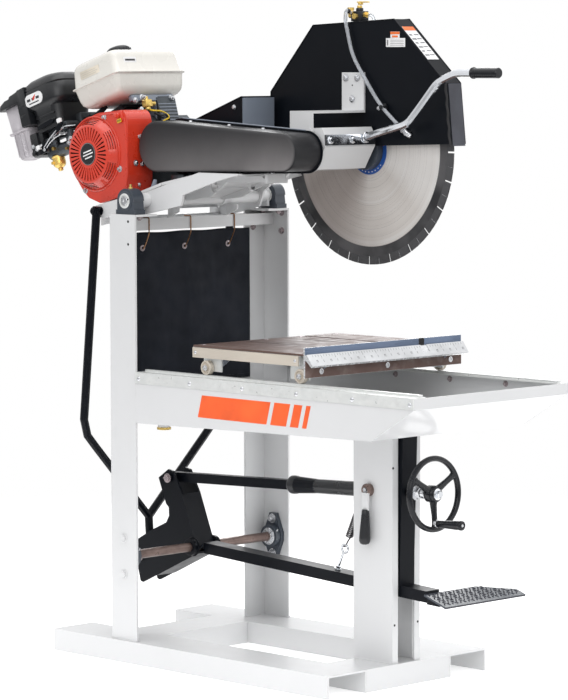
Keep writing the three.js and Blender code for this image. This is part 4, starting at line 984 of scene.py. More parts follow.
def build_air_cleaner():
    """Glossy black canister with a round front corner, over a narrower elbow, and its stepped side inlet."""
    body = Form(ENGINE)
    canister = [
        (120, (-222, -214), (-128, -92), 26), (150, (-226, -216), (-126, -88), 28),
        (182, (-234, -220), (-120, -80), 32), (188, (-246, -226), (-108, -70), 36),
        (195, (-252, -230), (-100, -64), 40), (200, (-254, -230), (-98, -62), 40),
        (238, (-256, -230), (-98, -62), 42), (241.5, (-254, -228), (-100, -64), 42),
        (244.5, (-256, -230), (-98, -62), 42), (257, (-252, -226), (-102, -66), 44),
        (266, (-242, -216), (-112, -76), 46), (272, (-226, -200), (-128, -92), 40),
        (274.6, (-206, -180), (-148, -112), 20)]
    body.skin(rounded_rings(canister, 8))
    body.rod((-170, -152, 272), (-170, -152, 275), 14, sides=24, soften=1.5)
    body.block((-226, -212, 119), (-160, -80, 160), 8)
    elbow = [(86, (-150, -148), (-104, -74), 16), (134, (-150, -150), (-104, -70), 16)]
    body.skin(rounded_rings(elbow, 8))
    for z in (140, 158):
        body.block((-214, -219, z), (-136, -214, z + 5), 1.5)
    inlet = [(-346, 224), (-340, 234), (-318, 243), (-300, 244), (-294, 250), (-262, 254), (-256, 257),
             (-228, 258), (-228, 151), (-264, 151), (-264, 222.5)]
    body.plate(inlet, "Y", -231, -109, 2.5)
    body.plate([(-346, 219), (-338, 226), (-264, 226), (-264, 222.6)], "Y", -232, -108, 0.6)
    for z in (178, 206):
        body.block((-262, -232, z), (-240, -226, z + 5), 1)
    shell = body.make("air_cleaner_case", "black_plastic", "head", crease=42)
    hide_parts("air_cleaner")


def build_air_cleaner_label():
    """A plain oval label with a few blank marks."""
    oval = rounded_rectangle((-232, 196), (-156, 230), 16.5, 10)
    Form(ENGINE).plate(oval, "Y", -231, -229.4, 0.4).make("air_cleaner_label", "label_white", "head")
    marks = Form(ENGINE)
    for x, width in ((-222, 14), (-202, 10), (-184, 14)):
        marks.block((x, -231.6, 211), (x + width, -230.6, 218), 0.2)
    marks.block((-216, -231.6, 202), (-174, -230.6, 205), 0.2)
    marks.make("air_cleaner_label_marks", "ink", "head")
    spot = Form(ENGINE).plate([(-196, 219), (-184, 225), (-190, 213), (-198, 210)], "Y", -231.8, -230.8, 0.1)
    spot.make("air_cleaner_label_spot", "red_paint", "head")


def build_precleaner_bowl():
    """Milky bowl with a rim round its middle and three moulded ribs."""
    bowl = Form(ENGINE)
    bowl.skin(rounded_rings([
        (68, (-312, -212), (-268, -168), 10), (71, (-316, -217), (-263.5, -163), 12),
        (76, (-318, -219), (-262, -161), 12), (143, (-326, -220), (-258, -160), 12),
        (144, (-334, -225), (-253, -155), 12), (149, (-336, -226), (-252, -154), 12),
        (150, (-328, -220), (-266, -160), 12), (219, (-336, -220), (-267, -160), 10),
        (221.5, (-334, -218), (-269, -162), 9)], 6))
    cup = bowl.make("precleaner_cup", "milky_plastic", "head", crease=40)
    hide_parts("precleaner_bowl")
    ribs = Form(ENGINE)
    for x in (-312, -290, -272):
        ribs.tube([(x, -220.4, 78), (x - 3, -220.8, 142)], 1.3, 6)
    ribs.make("precleaner_ribs", "milky_plastic", "head")


def build_carburettor():
    """Dark body with a brass float bowl."""
    x, y = FLOAT_BOWL_X, FLOAT_BOWL_Y
    body = Form(ENGINE)
    body.rod((x - 22, y, 60), (-112, y, 60), 19, sides=28, soften=2)
    body.block((x - 18, y - 20, 50), (x + 24, y + 24, 82), 4)
    body.rod((x, y, 64), (x, y, 117), 14, sides=24, soften=1)
    body.block((x - 28, y - 20, 94), (x + 30, y + 22, 102), 2)
    body.rod((x - 8, y - 20, 70), (x - 8, y - 34, 70), 8, sides=18, soften=1)
    body.block((-132, y - 18, 38), (-108, y + 50, 104), 4)
    body.block((-160, -150, 100), (-106, -70, 150), 6)
    body.block((-150, -205, 104), (-112, -150, 128), 5)
    metal = body.make("carburettor_body", "engine_alloy", "head")
    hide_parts("carburettor")
    bowl = Form(ENGINE)
    profile = [(0, 0), (19, 0), (19.4, 3), (18, 5), (18.4, 18), (17, 26), (12, 31), (8, 33), (7, 36), (7, 40),
               (5.5, 41.6), (0, 41.6)]
    bowl.lathe((x, y, 48), DOWNWARD, profile, 28)
    bowl.rod((x + 16, y - 6, 24), (x + 24, y - 8, 24), 4.5, sides=6)
    bowl.rod((x - 6, y - 17, 30), (x - 6, y - 22, 30), 5, sides=6)
    bowl.make("float_bowl", "brass", "head")


def governor_spring():
    """The path of the thin spring between the control levers."""
    turns, steps = 11, 12
    path = []
    for i in range(turns * steps + 1):
        share = i / (turns * steps)
        turn = 2 * math.pi * turns * share
        path.append((-172 + 52 * share, -214 + 3.4 * math.cos(turn), 96 + 14 * share + 3.4 * math.sin(turn)))
    return path


def build_governor_rods():
    """Bright linkage rods, their nuts, and the governor spring."""
    x, y = FLOAT_BOWL_X, FLOAT_BOWL_Y
    rods = Form(ENGINE)
    upper = smooth_path([(x - 8, y - 38, 76), (-160, -222, 98), (-128, -214, 112), (-92, -190, 108)], 16)
    lower = smooth_path([(x - 16, y - 34, 64), (-176, -220, 82), (-140, -216, 92), (-104, -180, 96)], 16)
    rods.tube(upper, 1.6, 8)
    rods.tube(lower, 1.4, 8)
    rods.tube([(x - 38, y - 30, 84), (x - 16, y - 32, 90)], 3.2, 10)
    rods.bolts([(x - 8, y - 34, 70), (-120, y - 18, 66), (-132, -205, 116), (-64, -140, 118)], NEARWARD, 9, 5)
    rods.bolt((x + 22, y - 20, 98), NEARWARD, 8, 4)
    rods.bolt((-30, -150, 126), NEARWARD, 8, 5)
    rods.tube(governor_spring(), 0.9, 6)
    rods.make("governor_rods", "bright_steel", "head")


def build_control_levers():
    """Thin black levers, their pale tips and the brass adjusting screws."""
    x, y = FLOAT_BOWL_X, FLOAT_BOWL_Y
    levers = Form(ENGINE)
    choke = [(x - 28, 60), (x - 2, 62), (x + 4, 80), (x - 8, 96), (x - 16, 92), (x - 14, 78), (x - 30, 70)]
    throttle = [(-170, 96), (-128, 104), (-108, 120), (-116, 128), (-140, 116), (-172, 108)]
    levers.plate(choke, "Y", y - 38, y - 34.5, 0.5)
    levers.plate(throttle, "Y", -220, -216, 0.5)
    levers.plate([(-104, 100), (-20, 116), (10, 128), (4, 136), (-40, 126), (-108, 116)], "Y", -158, -150, 1)
    levers.plate([(-60, 96), (-44, 100), (-52, 126), (-66, 122)], "Y", -168, -164, 0.5)
    levers.plate([(-214, 128), (-150, 132), (-140, 140), (-150, 144), (-214, 138)], "Y", -222, -217, 0.8)
    levers.make("control_levers", "black_paint", "head")
    tips = Form(ENGINE)
    tips.block((x - 46, y - 36, 78), (x - 30, y - 26, 90), 2)
    tips.block((-62, -176, 108), (-46, -166, 118), 2)
    tips.block((-128, -224, 124), (-112, -216, 136), 2)
    tips.make("choke_tip", "label_white", "head")
    brass = Form(ENGINE)
    brass.rod((x + 16, y - 20, 66), (x + 16, y - 30, 66), 5, sides=14, soften=0.8)
    brass.rod((-128, y - 18, 52), (-128, y - 28, 52), 4, sides=6)
    brass.rod((x - 44, y - 4, 74), (x - 44, y - 4, 92), 4, sides=12)
    brass.make("adjusting_screws", "old_brass", "head")


def build_cleaner_stay():
    """Black foot that carries the air cleaner's inlet."""
    stay = Form(ENGINE)
    stay.block((-262, -214, 62), (-232, -150, 128), 3)
    stay.block((-240, -208, 96), (-214, -160, 128), 3)
    stay.rod((-250, -214, 70), (-250, -222, 70), 7, sides=16, soften=1)
    stay.make("cleaner_stay", "black_plastic", "head")
    bolts = Form(ENGINE).bolts([(-254, -214, 92), (-240, -214, 80)], NEARWARD, 8, 4)
    bolts.make("stay_bolts", "bright_steel", "head")


def build_engine_rear():
    """Crankcase ribs, cylinder fins, muffler guard and the drain bolt, seen from the sides and back."""
    fins = Form(ENGINE)
    for step in range(8):
        z = 66 + step * 7.5
        fins.block((-98, -116, z), (44, -4, z + 2.6), 1)
    fins.block((-70, -110, 112), (24, -10, 128), 6)
    fins.make("cylinder_fins", "engine_alloy", "head")
    case = Form(ENGINE)
    case.plate(arc((10, -20), 84, 0, 360, 40)[:-1], "Y", 62, 70, 3)
    case.plate(arc((0, 0), 34, 0, 360, 30)[:-1], "Y", 69, 80, 3)
    for turn in full_turn(6)[:-1]:
        x, z = on_circle((10, -20), 74, turn)
        case.bolt((x, 70, z), FARWARD, 10, 6)
    case.rod((-104, -60, -70), (-114, -60, -70), 9, sides=6)
    case.make("crankcase_cover", "engine_alloy", "head")
    guard = Form(ENGINE)
    guard.plate(rounded_rectangle((54, -56), (112, 4), 6, 3), "Z", 126, 129, 1)
    for row in range(5):
        guard.block((60 + row * 10, -50, 129), (64 + row * 10, -2, 130.4), 0.6)
    guard.make("muffler_guard", "dark_cast", "head")


def build_engine():
    """Everything that is bolted to the engine."""
    build_recoil_cover()
    build_cooling_fan()
    build_recoil_badge()
    build_recoil_seat()
    build_shroud_details()
    build_stop_switch()
    build_fuel_tank()
    build_fuel_cap()
    build_tank_labels()
    build_tank_bracket()
    build_fuel_cock()
    build_air_cleaner()
    build_air_cleaner_label()
    build_precleaner_bowl()
    build_carburettor()
    build_governor_rods()
    build_control_levers()
    build_cleaner_stay()
    build_engine_rear()


# ---------------------------------------------------------------- head: guards, blade, handle and water
BELT_NEAR, BELT_FAR = -192, -92
BELT_RUN, BELT_TOP_FALL, BELT_FOOT_RISE = 482, 27, 11
GUARD_NEAR, GUARD_FAR = 111, 169


def build_belt_guard():
    """Deep pressed cover over the belt, with a soft rolled edge round its near face."""
    def ring(inset, y):
        outline = two_circle_outline(JACKSHAFT, 69 - inset, ARBOR, 50 - inset, 28)
        return [(x, y, z) for x, z in outline]

    soft = 9
    rolled = [(soft * (1 - math.cos(t)), BELT_NEAR + soft * (1 - math.sin(t)))
              for t in (math.pi / 2 * i / 6 for i in range(7))]
    outer = [ring(0, BELT_FAR), ring(0, BELT_NEAR + 30)] + [ring(inset, y) for inset, y in rolled]
    cover = Form()
    cover.skin(outer + [ring(30, BELT_NEAR)], caps=False)
    cover.mesh.faces.new([cover.mesh.verts.new(p) for p in ring(30, BELT_NEAR)])
    cover.skin([ring(0, BELT_FAR), ring(2.5, BELT_FAR), ring(2.5, BELT_NEAR + 3)], caps=False)
    bmesh.ops.remove_doubles(cover.mesh, verts=cover.mesh.verts, dist=0.01)
    shell = cover.make("belt_guard_cover", "charcoal_paint", "head", crease=50)
    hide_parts("belt_guard")


def build_belt_guard_edge():
    """Thin flange round the cover's open side, and a pale grey strip along its top edge as a painted
    highlight.
    """
    flange = Form()
    inner = two_circle_outline(JACKSHAFT, 68.6, ARBOR, 49.6, 28)
    outer = two_circle_outline(JACKSHAFT, 75, ARBOR, 56, 28)
    steps = ((inner, BELT_FAR - 3.2), (outer, BELT_FAR - 3.2), (outer, BELT_FAR - 1), (inner, BELT_FAR - 1))
    flange.skin([[(x, y, z) for x, z in outline] for outline, y in steps], caps=False)
    flange.make("belt_guard_flange", "black_paint", "head")
    # The pale grey tube along the top edge is a painted highlight, where light catches the cover's rolled
    # edge.
    fall = Vector((ARBOR[0] - JACKSHAFT[0], 0, -BELT_TOP_FALL))
    painted_highlight_start = Vector((JACKSHAFT[0] + 8, BELT_FAR - 4, JACKSHAFT[1] + 75.4))
    lip = Form().tube([painted_highlight_start, painted_highlight_start + fall * 0.5, painted_highlight_start + fall * 0.97], 1.7, 8)
    lip.make("belt_guard_painted_highlight", "grey_bracket", "head")


def build_belt_guard_screws():
    """Knurled screws along the belt guard's lower and upper edges."""
    screws = Form()
    for x in (-150, 0, 130):
        foot = 1326.5 + BELT_FOOT_RISE / BELT_RUN * (x - JACKSHAFT[0])
        screws.rod((x, BELT_FAR - 6, foot - 7), (x, BELT_FAR - 6, foot - 1), 6.5, 4.5, 18, 1.2)
        top = 1464 - BELT_TOP_FALL / BELT_RUN * (x - JACKSHAFT[0])
        screws.rod((x - 30, BELT_FAR - 12, top - 1), (x - 30, BELT_FAR - 12, top + 5), 6.5, 4.5, 18, 1.2)
    screws.make("belt_guard_screws", "bright_steel", "head")


def build_drive_cover():
    """Cover over the engine's pulley: a bluish grey sheet on its front face as painted reflection, folded
    edges and bolts.
    """
    # The grey sheet on the front face is a painted reflection of the bright light on that side.
    Form().block((-61.5, -26, 1400), (-58.8, 94, 1526), 0.6).make("drive_cover_painted_sheen", "grey_bracket", "head")
    edge = Form()
    edge.tube([(-288, -27.5, 1449), (-62, -27.5, 1529)], 1.6, 8)
    edge.tube([(-60, -27.5, 1400), (-60, -27.5, 1528)], 1.4, 8)
    edge.make("drive_cover_hem", "black_paint", "head")
    bolts = Form().bolts([(-240, -27, 1446), (-90, -27, 1500), (-90, -27, 1420)], NEARWARD, 9, 4)
    bolts.make("drive_cover_bolts", "bright_steel", "head")


def build_jackshaft_sheave():
    """Grooved sheave on the jackshaft, behind the belt guard."""
    profile = [(14, 0), (57, 0), (54, 5), (47, 11), (50, 16), (57, 22), (57, 26), (14, 26)]
    pulley = Form().lathe((JACKSHAFT[0], 44, JACKSHAFT[1]), FARWARD, profile, 40)
    pulley.make("jackshaft_sheave", "dark_cast", "jackshaft")


def build_blade_ring():
    """Blue ring round the arbour, on the blade's near face, with two red marks and a row of white dots."""
    ring = [(50, 0), (65, 0), (65, 0.7), (50, 0.7), (50, 0)]
    place = (ARBOR[0], BLADE_Y - 1.7, ARBOR[1])
    Form().lathe(place, NEARWARD, ring, 64).make("blade_ring", "flange_blue", "spindle")
    marks = Form()
    for degrees in (18, 34):
        corners = [on_circle(ARBOR, radius, math.radians(degrees + offset))
                   for radius, offset in ((54, -5), (62, -5), (62, 6), (54, 6))]
        marks.plate(corners, "Y", BLADE_Y - 3.0, BLADE_Y - 2.2)
    marks.make("blade_ring_marks", "red_paint", "spindle")
    dots = Form()
    for degrees in range(-150, -30, 12):
        x, z = on_circle(ARBOR, 58, math.radians(degrees))
        dots.rod((x, BLADE_Y - 3.0, z), (x, BLADE_Y - 2.3, z), 1.6, sides=10)
    dots.make("blade_ring_dots", "label_white", "spindle")


def build_blade_clamp():
    """Clamping flange on the blade's near side and the arbour nut on its far side."""
    profile = [(0, 0), (52, 0), (52, 8), (49, 10), (38, 11), (36, 14), (20, 14), (18, 20), (0, 20)]
    clamp = Form().lathe((ARBOR[0], BLADE_Y - 1.9, ARBOR[1]), NEARWARD, profile, 56)
    clamp.make("inner_flange_face", "dark_cast", "spindle")
    nut = Form().bolt((ARBOR[0], BLADE_Y + 12, ARBOR[1]), FARWARD, 38, 18, 1.2, 5)
    nut.make("arbor_nut", "bright_steel", "spindle")


def build_blade_segments():
    """Raised diamond segments on both faces of the rim, and the bright slots between them."""
    count = 24
    shape = ((283, 0.045), (283, 0.5), (283, 0.955), (304, 0.96), (304.4, 0.5), (304, 0.04))
    segments = Form()
    for start in full_turn(count)[:-1]:
        corners = [on_circle(ARBOR, radius, start + share * 2 * math.pi / count) for radius, share in shape]
        for y in (BLADE_Y - 1.9, BLADE_Y + 1.9):
            segments.plate(corners, "Y", y - 0.45, y + 0.45)
    segments.make("diamond_segments", "segment_grit", "spindle")
    slots = Form()
    inner, outer, half_width = 288, 304.2, 0.5
    for start in full_turn(count)[:-1]:
        turn = start + math.pi / count
        across = (-math.sin(turn) * half_width, math.cos(turn) * half_width)
        corners = []
        for radius, side in ((inner, -1), (outer, -1), (outer, 1), (inner, 1)):
            x, z = on_circle(ARBOR, radius, turn)
            corners.append((x + across[0] * side, z + across[1] * side))
        for y in (BLADE_Y - 2.9, BLADE_Y + 2.4):
            slots.plate(corners, "Y", y, y + 0.5)
    slots.make("segment_marks", "bright_steel", "spindle")


def build_guard_edges():
    """Folded seams, the grey front plate and the wavy rubber strip along it."""
    outline = [(573, 1409), (556, 1567), (373, 1734), (73, 1720), (-89, 1541)]
    seams = Form()
    for y in (GUARD_NEAR - 0.4, GUARD_FAR + 0.4):
        seams.tube([(x, y, z) for x, z in outline], 1.5, 8)
        seams.tube([(-89, y, 1541), (-89, y, 1389)], 1.5, 8)
    seams.make("guard_folded_edges", "black_paint", "head", crease=60)
    plate = Form()
    sides = [[(574.6, y, 1404), (557.6, y, 1566)] for y in (GUARD_NEAR + 9, GUARD_FAR - 1)]
    plate.skin(sides, closed=False, caps=False)
    bmesh.ops.solidify(plate.mesh, geom=plate.mesh.faces[:], thickness=1.6)
    plate.make("guard_front_plate", "satin_grey", "head")
    steps = 24
    edge = []
    for i in range(steps + 1):
        share = i / steps
        edge.append((573.5 - 16.5 * share + 1.6 * math.sin(share * 26), GUARD_NEAR - 1, 1403 + 162 * share))
    Form().tube(edge, 3.0, 8).make("guard_rubber_strip", "rubber", "head")


def slope_patch(form, start, end, y0, y1, lift):
    """A thin patch on the guard's front slope; start and end are shares of the way down it."""
    top, foot = Vector((392, 0, 1716.7)), Vector((520, 0, 1599.9))

    def ring(height):
        corners = ((start, y0), (start, y1), (end, y1), (end, y0))
        points = [(top.lerp(foot, share), y) for share, y in corners]
        return [(point.x + 0.67 * height, y, point.z + 0.74 * height) for point, y in points]

    form.skin([ring(lift), ring(lift + 0.5)])


def build_guard_labels():
    """Plain white notices on the slope and the near face, with grey lines and orange bands."""
    near = GUARD_NEAR - 1.0
    label = Form()
    slope_patch(label, 0.03, 0.76, 115, 158, 0.4)
    label.block((344, near, 1661), (413, near + 0.8, 1684), 0.2)
    label.block((360, near, 1684.5), (393, near + 0.8, 1701), 0.2)
    label.make("guard_labels", "label_white", "head")
    lines = Form()
    for row in range(6):
        start = 0.2 + row * 0.09
        slope_patch(lines, start, start + 0.03, 119, 129 + 5 * (row % 2), 0.9)
        slope_patch(lines, start, start + 0.02, 137, 154, 0.9)
    lines.block((348, near - 0.3, 1665), (352, near + 0.4, 1680), 0.1)
    for row in range(4):
        lines.block((360, near - 0.3, 1665 + row * 4.4), (408, near + 0.1, 1666 + row * 4.4), 0.1)
    lines.make("guard_label_lines", "grey_ink", "head")
    bands = Form()
    slope_patch(bands, 0.03, 0.115, 115.5, 157.5, 0.9)
    bands.block((360, near - 0.3, 1694), (393, near + 0.4, 1700.6), 0.1)
    bands.block((366, near - 0.3, 1686), (387, near + 0.4, 1691), 0.1)
    bands.make("guard_label_bands", "label_orange", "head")


def build_guard_fittings():
    """Bracket bolts, the hose clip with its screw, and the water nozzle."""
    bolts = Form()
    for x, z in ((202, 1580), (244, 1580), (226, 1524)):
        bolts.bolt((x, GUARD_NEAR - 6.6, z), NEARWARD, 11, 5, 1.5)
    bolts.make("bracket_bolts_guard", "bright_steel", "head")
    clips = Form()
    clips.block((337, 96, 1499), (351, GUARD_NEAR, 1507), 1)
    clips.rod((344, 92, 1503), (344, 88, 1503), 6, sides=16, soften=1)
    clips.plate([(336, 1498), (344, 1494), (352, 1498), (350, 1512), (338, 1512)], "Y", 103, 106, 0.6)
    clips.make("hose_clip", "black_plastic", "head")
    Form().bolt((336, 92, 1500), NEARWARD, 7, 4, 1.3).make("hose_clip_screw", "bright_steel", "head")
    nozzle = Form()
    nozzle.tube([(414, 99, 1447), (430, 99, 1434), (440, 104, 1428)], [7, 7.5, 6], 14)
    nozzle.rod((428, 99, 1438), (428, GUARD_NEAR, 1438), 5, sides=12)
    nozzle.bolt((424, 92, 1440), (-0.7, -0.2, 0.7), 10, 5, 1)
    nozzle.make("water_nozzle", "bright_steel", "head")


def build_bracket_details():
    """A hole in the guard's bracket, drawn as a near-black disc of painted shade, and the weld down the
    bracket's rear edge.
    """
    hole = Form().rod((226, GUARD_NEAR - 6.9, 1560), (226, GUARD_NEAR - 6.2, 1560), 2, sides=12)
    hole.make("bracket_hole", "dark_hollow", "head")
    Form().tube([(189, -91, 1405), (189, -91, 1493)], 1.5, 6).make("bracket_weld", "white_paint", "head")


def build_grip_sleeve():
    """Ribbed rubber grip of the head's handle."""
    start, end = 697, 788
    profile = [(10.2, 0), (14.6, 0), (15.2, 1.5), (15.2, 5), (13.4, 6.5)]
    for number in range(11):
        rib = 9 + number * 7.0
        profile += [(12.9, rib), (13.4, rib + 1.2), (13.4, rib + 4.6), (12.9, rib + 5.8)]
    profile += [(13.6, end - start - 3), (12.0, end - start - 0.6), (0, end - start)]
    grip = Form().lathe((start, 60, 1594), FORWARD, profile, 32)
    sleeve = grip.make("grip_sleeve", "gloss_black", "head", crease=40)
    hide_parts("handle_grip")


def build_handle_details():
    """Weld bead and bolts of the handle plate, and the bore (a near-black disc of painted shade) and bolts of
    the spindle housing.
    """
    face = ARBOR[0] + 57.5
    bead = [(face + 9, y, z) for y, z in (on_circle((60, 1424), 12.2, turn) for turn in full_turn(24))]
    Form().tube(bead, 2.6, 8, caps=False).make("handle_weld", "chrome", "head")
    bolts = Form().bolts([(face + 5.6, y, 1419) for y in (-72, 10)], (1, 0, 0.07), 12, 5, 1.4)
    bolts.make("handle_plate_bolts", "chrome", "head")
    # The bore is a near-black disc: painted shade inside the hole.
    bore = [(0, 0), (9, 0), (9, 1.2), (0, 1.2)]
    hollow = Form().lathe((ARBOR[0] + 20, -86, ARBOR[1] - 36), NEARWARD, bore, 24)
    hollow.make("housing_bore", "dark_hollow", "head")
    fixings = Form().bolts([(205, -84.4, 1436), (262, -84.4, 1443)], NEARWARD, 12, 6, 1.4)
    fixings.make("housing_bolts", "white_paint", "head")


VALVE_SEAT = 1728.5


def build_valve_block():
    """Black block of the water valve, on top of the blade guard."""
    seat, y = VALVE_SEAT, BLADE_Y
    block = Form()
    block.block((200, y - 15, seat + 0.6), (238, y + 15, seat + 28), 2)
    block.block((206, y - 12, seat - 0.3), (232, y + 12, seat + 3), 0.6)
    block.rod((219, y, seat + 26), (219, y, seat + 36), 10, sides=24, soften=1)
    valve = block.make("valve_body", "black_plastic", "head")
    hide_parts("water_valve")


def build_valve_fittings():
    """Brass elbows, plugs and barbs round the valve block."""
    seat, y = VALVE_SEAT, BLADE_Y
    brass = Form()
    brass.rod((200, y, seat + 16), (192, y, seat + 16), 9, sides=6)
    brass.rod((194, y, seat + 16), (182, y, seat + 16), 6.5, sides=20, soften=0.8)
    brass.rod((186, y, seat + 12), (186, y, seat + 32), 7, sides=20, soften=1)
    brass.rod((186, y, seat + 30), (186, y, seat + 38), 9, sides=6)
    brass.rod((219, y - 15, seat + 14), (219, y - 22, seat + 14), 8, sides=6)
    brass.rod((238, y, seat + 18), (246, y, seat + 18), 8, sides=6)
    brass.rod((246, y, seat + 18), (254, y, seat + 18), 5, 4.2, 16, 0.5)
    brass.rod((204, y - 14, seat + 24), (204, y - 26, seat + 24), 6, 5, 16, 0.8)
    brass.rod((219, y, seat + 35), (219, y, seat + 43), 7, sides=20, soften=1)
    brass.make("valve_fittings", "brass", "head")


def build_valve_lever():
    """Flat brass handle that turns on top of the valve block."""
    seat, y = VALVE_SEAT, BLADE_Y
    lever = Form()
    lever.rod((222, y, seat + 44.4), (222, y, seat + 52), 7, sides=20, soften=0.8)
    outline = [(214, y - 6), (236, y - 6), (252, y - 3.6), (252, y + 3.6), (236, y + 6), (214, y + 6)]
    lever.plate(outline, "Z", seat + 50, seat + 53.4, 0.6)
    lever.bolt((222, y, seat + 53), UPWARD, 8, 1, 0)
    handle = lever.make("valve_handle", "brass", "valve_lever")
    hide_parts("valve_lever")


def build_hose_stub():
    """Short end of clear hose on the valve's front barb."""
    seat, y = VALVE_SEAT, BLADE_Y
    stub = [(252, y, seat + 18), (264, y, seat + 16), (272, y, seat + 6), (275, y, seat - 4)]
    Form().tube(smooth_path(stub, 16), 4.2, 12).make("spare_hose_stub", "clear_vinyl", "head")


def build_hose():
    """The clear water hose: from its barb on the valve, across the guard and into the nozzle."""
    radius = 5.0
    route = smooth_path([(206, 120, 1752), (204, 106, 1757), (206, 99, 1735), (214, 99, 1700),
                         (234, 99, 1640), (281, 99, 1574), (334, 99, 1510), (384, 99, 1468),
                         (424, 99, 1439)], 72)
    tube = Form().tube(route, radius, 14).make("hose_tube", "clear_vinyl", "head")
    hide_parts("water_hose")
    bands = Form()
    for index in (3, 68):
        ahead = (route[index + 1] - route[index]).normalized()
        bands.rod(route[index] - ahead * 4, route[index] + ahead * 4, 6.4, sides=20, soften=0.6)
    bands.make("hose_bands", "black_plastic", "head")


def build_arm_details():
    """Engine mounting bolts, weld beads, ribs, the engine's foot and its ground strap's boot."""
    x, z = HEAD_PIVOT
    downward_tilted = (0.29, 0, -0.96)
    bolts = Form()
    bolts.bolts([(-212, y, 1277) for y in (-20, 40)], downward_tilted, 13, 8, 1.4, 6)
    bolts.bolts([(-330, y, 1242) for y in (-150, 150)], downward_tilted, 13, 8, 1.4, 6)
    bolts.make("engine_mount_bolts", "bright_steel", "head")
    welds = Form()
    for y in (-200, 200, -86, 66):
        welds.tube(circle_about_y(HEAD_PIVOT, y, 20.5, 24), 2.4, 8, caps=False)
    for y in (-199, 199):
        welds.tube(circle_about_y((-395, 1190), y, 11, 20), 2, 8, caps=False)
    welds.make("arm_welds", "white_paint", "head")
    ribs = Form()
    for y in (-120, 100):
        ribs.plate([(x - 12, z - 52), (x + 30, z - 34), (x + 30, z - 20), (x - 12, z - 20)], "Y", y, y + 6, 1)
    ribs.make("arm_ribs", "white_paint", "head")
    motor = Form()
    motor.block((-200, -160, 1290), (-150, -100, 1322), 4)
    motor.rod((-214, -130, 1300), (-140, -130, 1320), 12, sides=24, soften=2)
    motor.make("engine_foot", "engine_alloy", "head")
    boot = Form().rod((-232, -196, 1276), (-222, -196, 1306), 9, 5, 16, 1)
    boot.make("ground_strap_boot", "grey_bracket", "head")


def build_head():
    """Everything that tilts with the head, apart from the engine."""
    build_belt_guard()
    build_belt_guard_edge()
    build_belt_guard_screws()
    build_drive_cover()
    build_jackshaft_sheave()
    build_blade_ring()
    build_blade_clamp()
    build_blade_segments()
    build_guard_edges()
    build_guard_labels()
    build_guard_fittings()
    build_bracket_details()
    build_grip_sleeve()
    build_handle_details()
    build_valve_block()
    build_valve_fittings()
    build_valve_lever()
    build_hose_stub()
    build_hose()
    build_arm_details()


# ---------------------------------------------------------------- stand
RAIL_SCREW_X = [-186 + 199.4 * step for step in range(6)]


def ring_weld(form, centre, y, radius, bead):
    """A slightly uneven weld bead round a bar that runs along Y."""
    steps = 28
    widths = [bead * (1 + 0.12 * math.sin(9 * turn)) for turn in full_turn(steps)]
    form.tube(circle_about_y(centre, y, radius, steps), widths, 8, caps=False)


def build_pillow_blocks():
    """Bright races, seals, set screws and brass grease nipples of the two cast blocks."""
    x, z = HEAD_PIVOT
    seal_profile = [(26, 0), (26, 1.2), (24, 2.4), (20, 2.4), (20, 0)]
    race_profile = [(20, 0), (20, 4.6), (19, 5.4), (13.4, 5.4), (13.2, 4.6), (13.2, 0)]
    nipple_profile = [(0, 0), (3.6, 0), (2.6, 3), (3.4, 5.5), (2.6, 8), (0, 8)]
    race, seal, nipple, screws = Form(), Form(), Form(), Form()
    for side in (-1, 1):
        for face, facing in ((286, side), (248, -side)):
            place = (x, side * face, z)
            seal.lathe(place, (0, facing, 0), seal_profile, 40)
            race.lathe(place, (0, facing, 0), race_profile, 40)
        screws.rod((x + 15, side * 292, z + 4), (x + 18.6, side * 292, z + 5), 2.2, sides=12)
        nipple.rod((x, side * 267, z + 31), (x, side * 267, z + 36), 5.2, sides=6)
        nipple.lathe((x, side * 267, z + 36), UPWARD, nipple_profile, 16)
    race.make("pivot_bearing_races", "galvanised", "stand")
    seal.make("pivot_bearing_seals", "dark_cast", "stand")
    nipple.make("grease_nipples", "brass", "stand")
    screws.make("pivot_set_screws", "dark_hollow", "stand")
    end_profile = [(0, 0), (12.2, 0), (12.2, 1.6), (11.2, 2.4), (3.4, 2.4), (2.2, 1.2), (0, 1.2)]
    ends = Form()
    for side in (-1, 1):
        ends.lathe((x, side * 289.6, z), (0, side, 0), end_profile, 32)
    ends.make("pivot_shaft_ends", "bright_steel", "stand")


def build_flange_bearings():
    """Nuts, bolt heads, collars and grease points of the two lower bearings."""
    x, z = PEDAL_PIVOT
    collar_profile = [(24, -3), (24, 1), (22.5, 2), (19, 2), (19, 8), (18, 9), (13.4, 9), (13.4, 0)]
    nuts, collar, heads = Form(), Form(), Form()
    for side in (-1, 1):
        for rise in (-49.5, 49.5):
            nuts.bolt((x, side * 272.6, z + rise), (0, -side, 0), 17, 9, 1.3, 5)
            heads.bolt((x, side * 290.8, z + rise), (0, side, 0), 17, 7, 1.25)
        collar.lathe((x, side * 256.5, z), (0, -side, 0), collar_profile, 36)
        collar.rod((x + 26, side * 262, z + 14), (x + 32, side * 262, z + 22), 2.6, 1.6, 12, 0.5)
    nuts.make("lower_bearing_nuts", "bright_steel", "stand")
    heads.make("lower_bearing_bolt_heads", "white_paint", "stand")
    collar.make("lower_bearing_collars", "bright_steel", "stand")


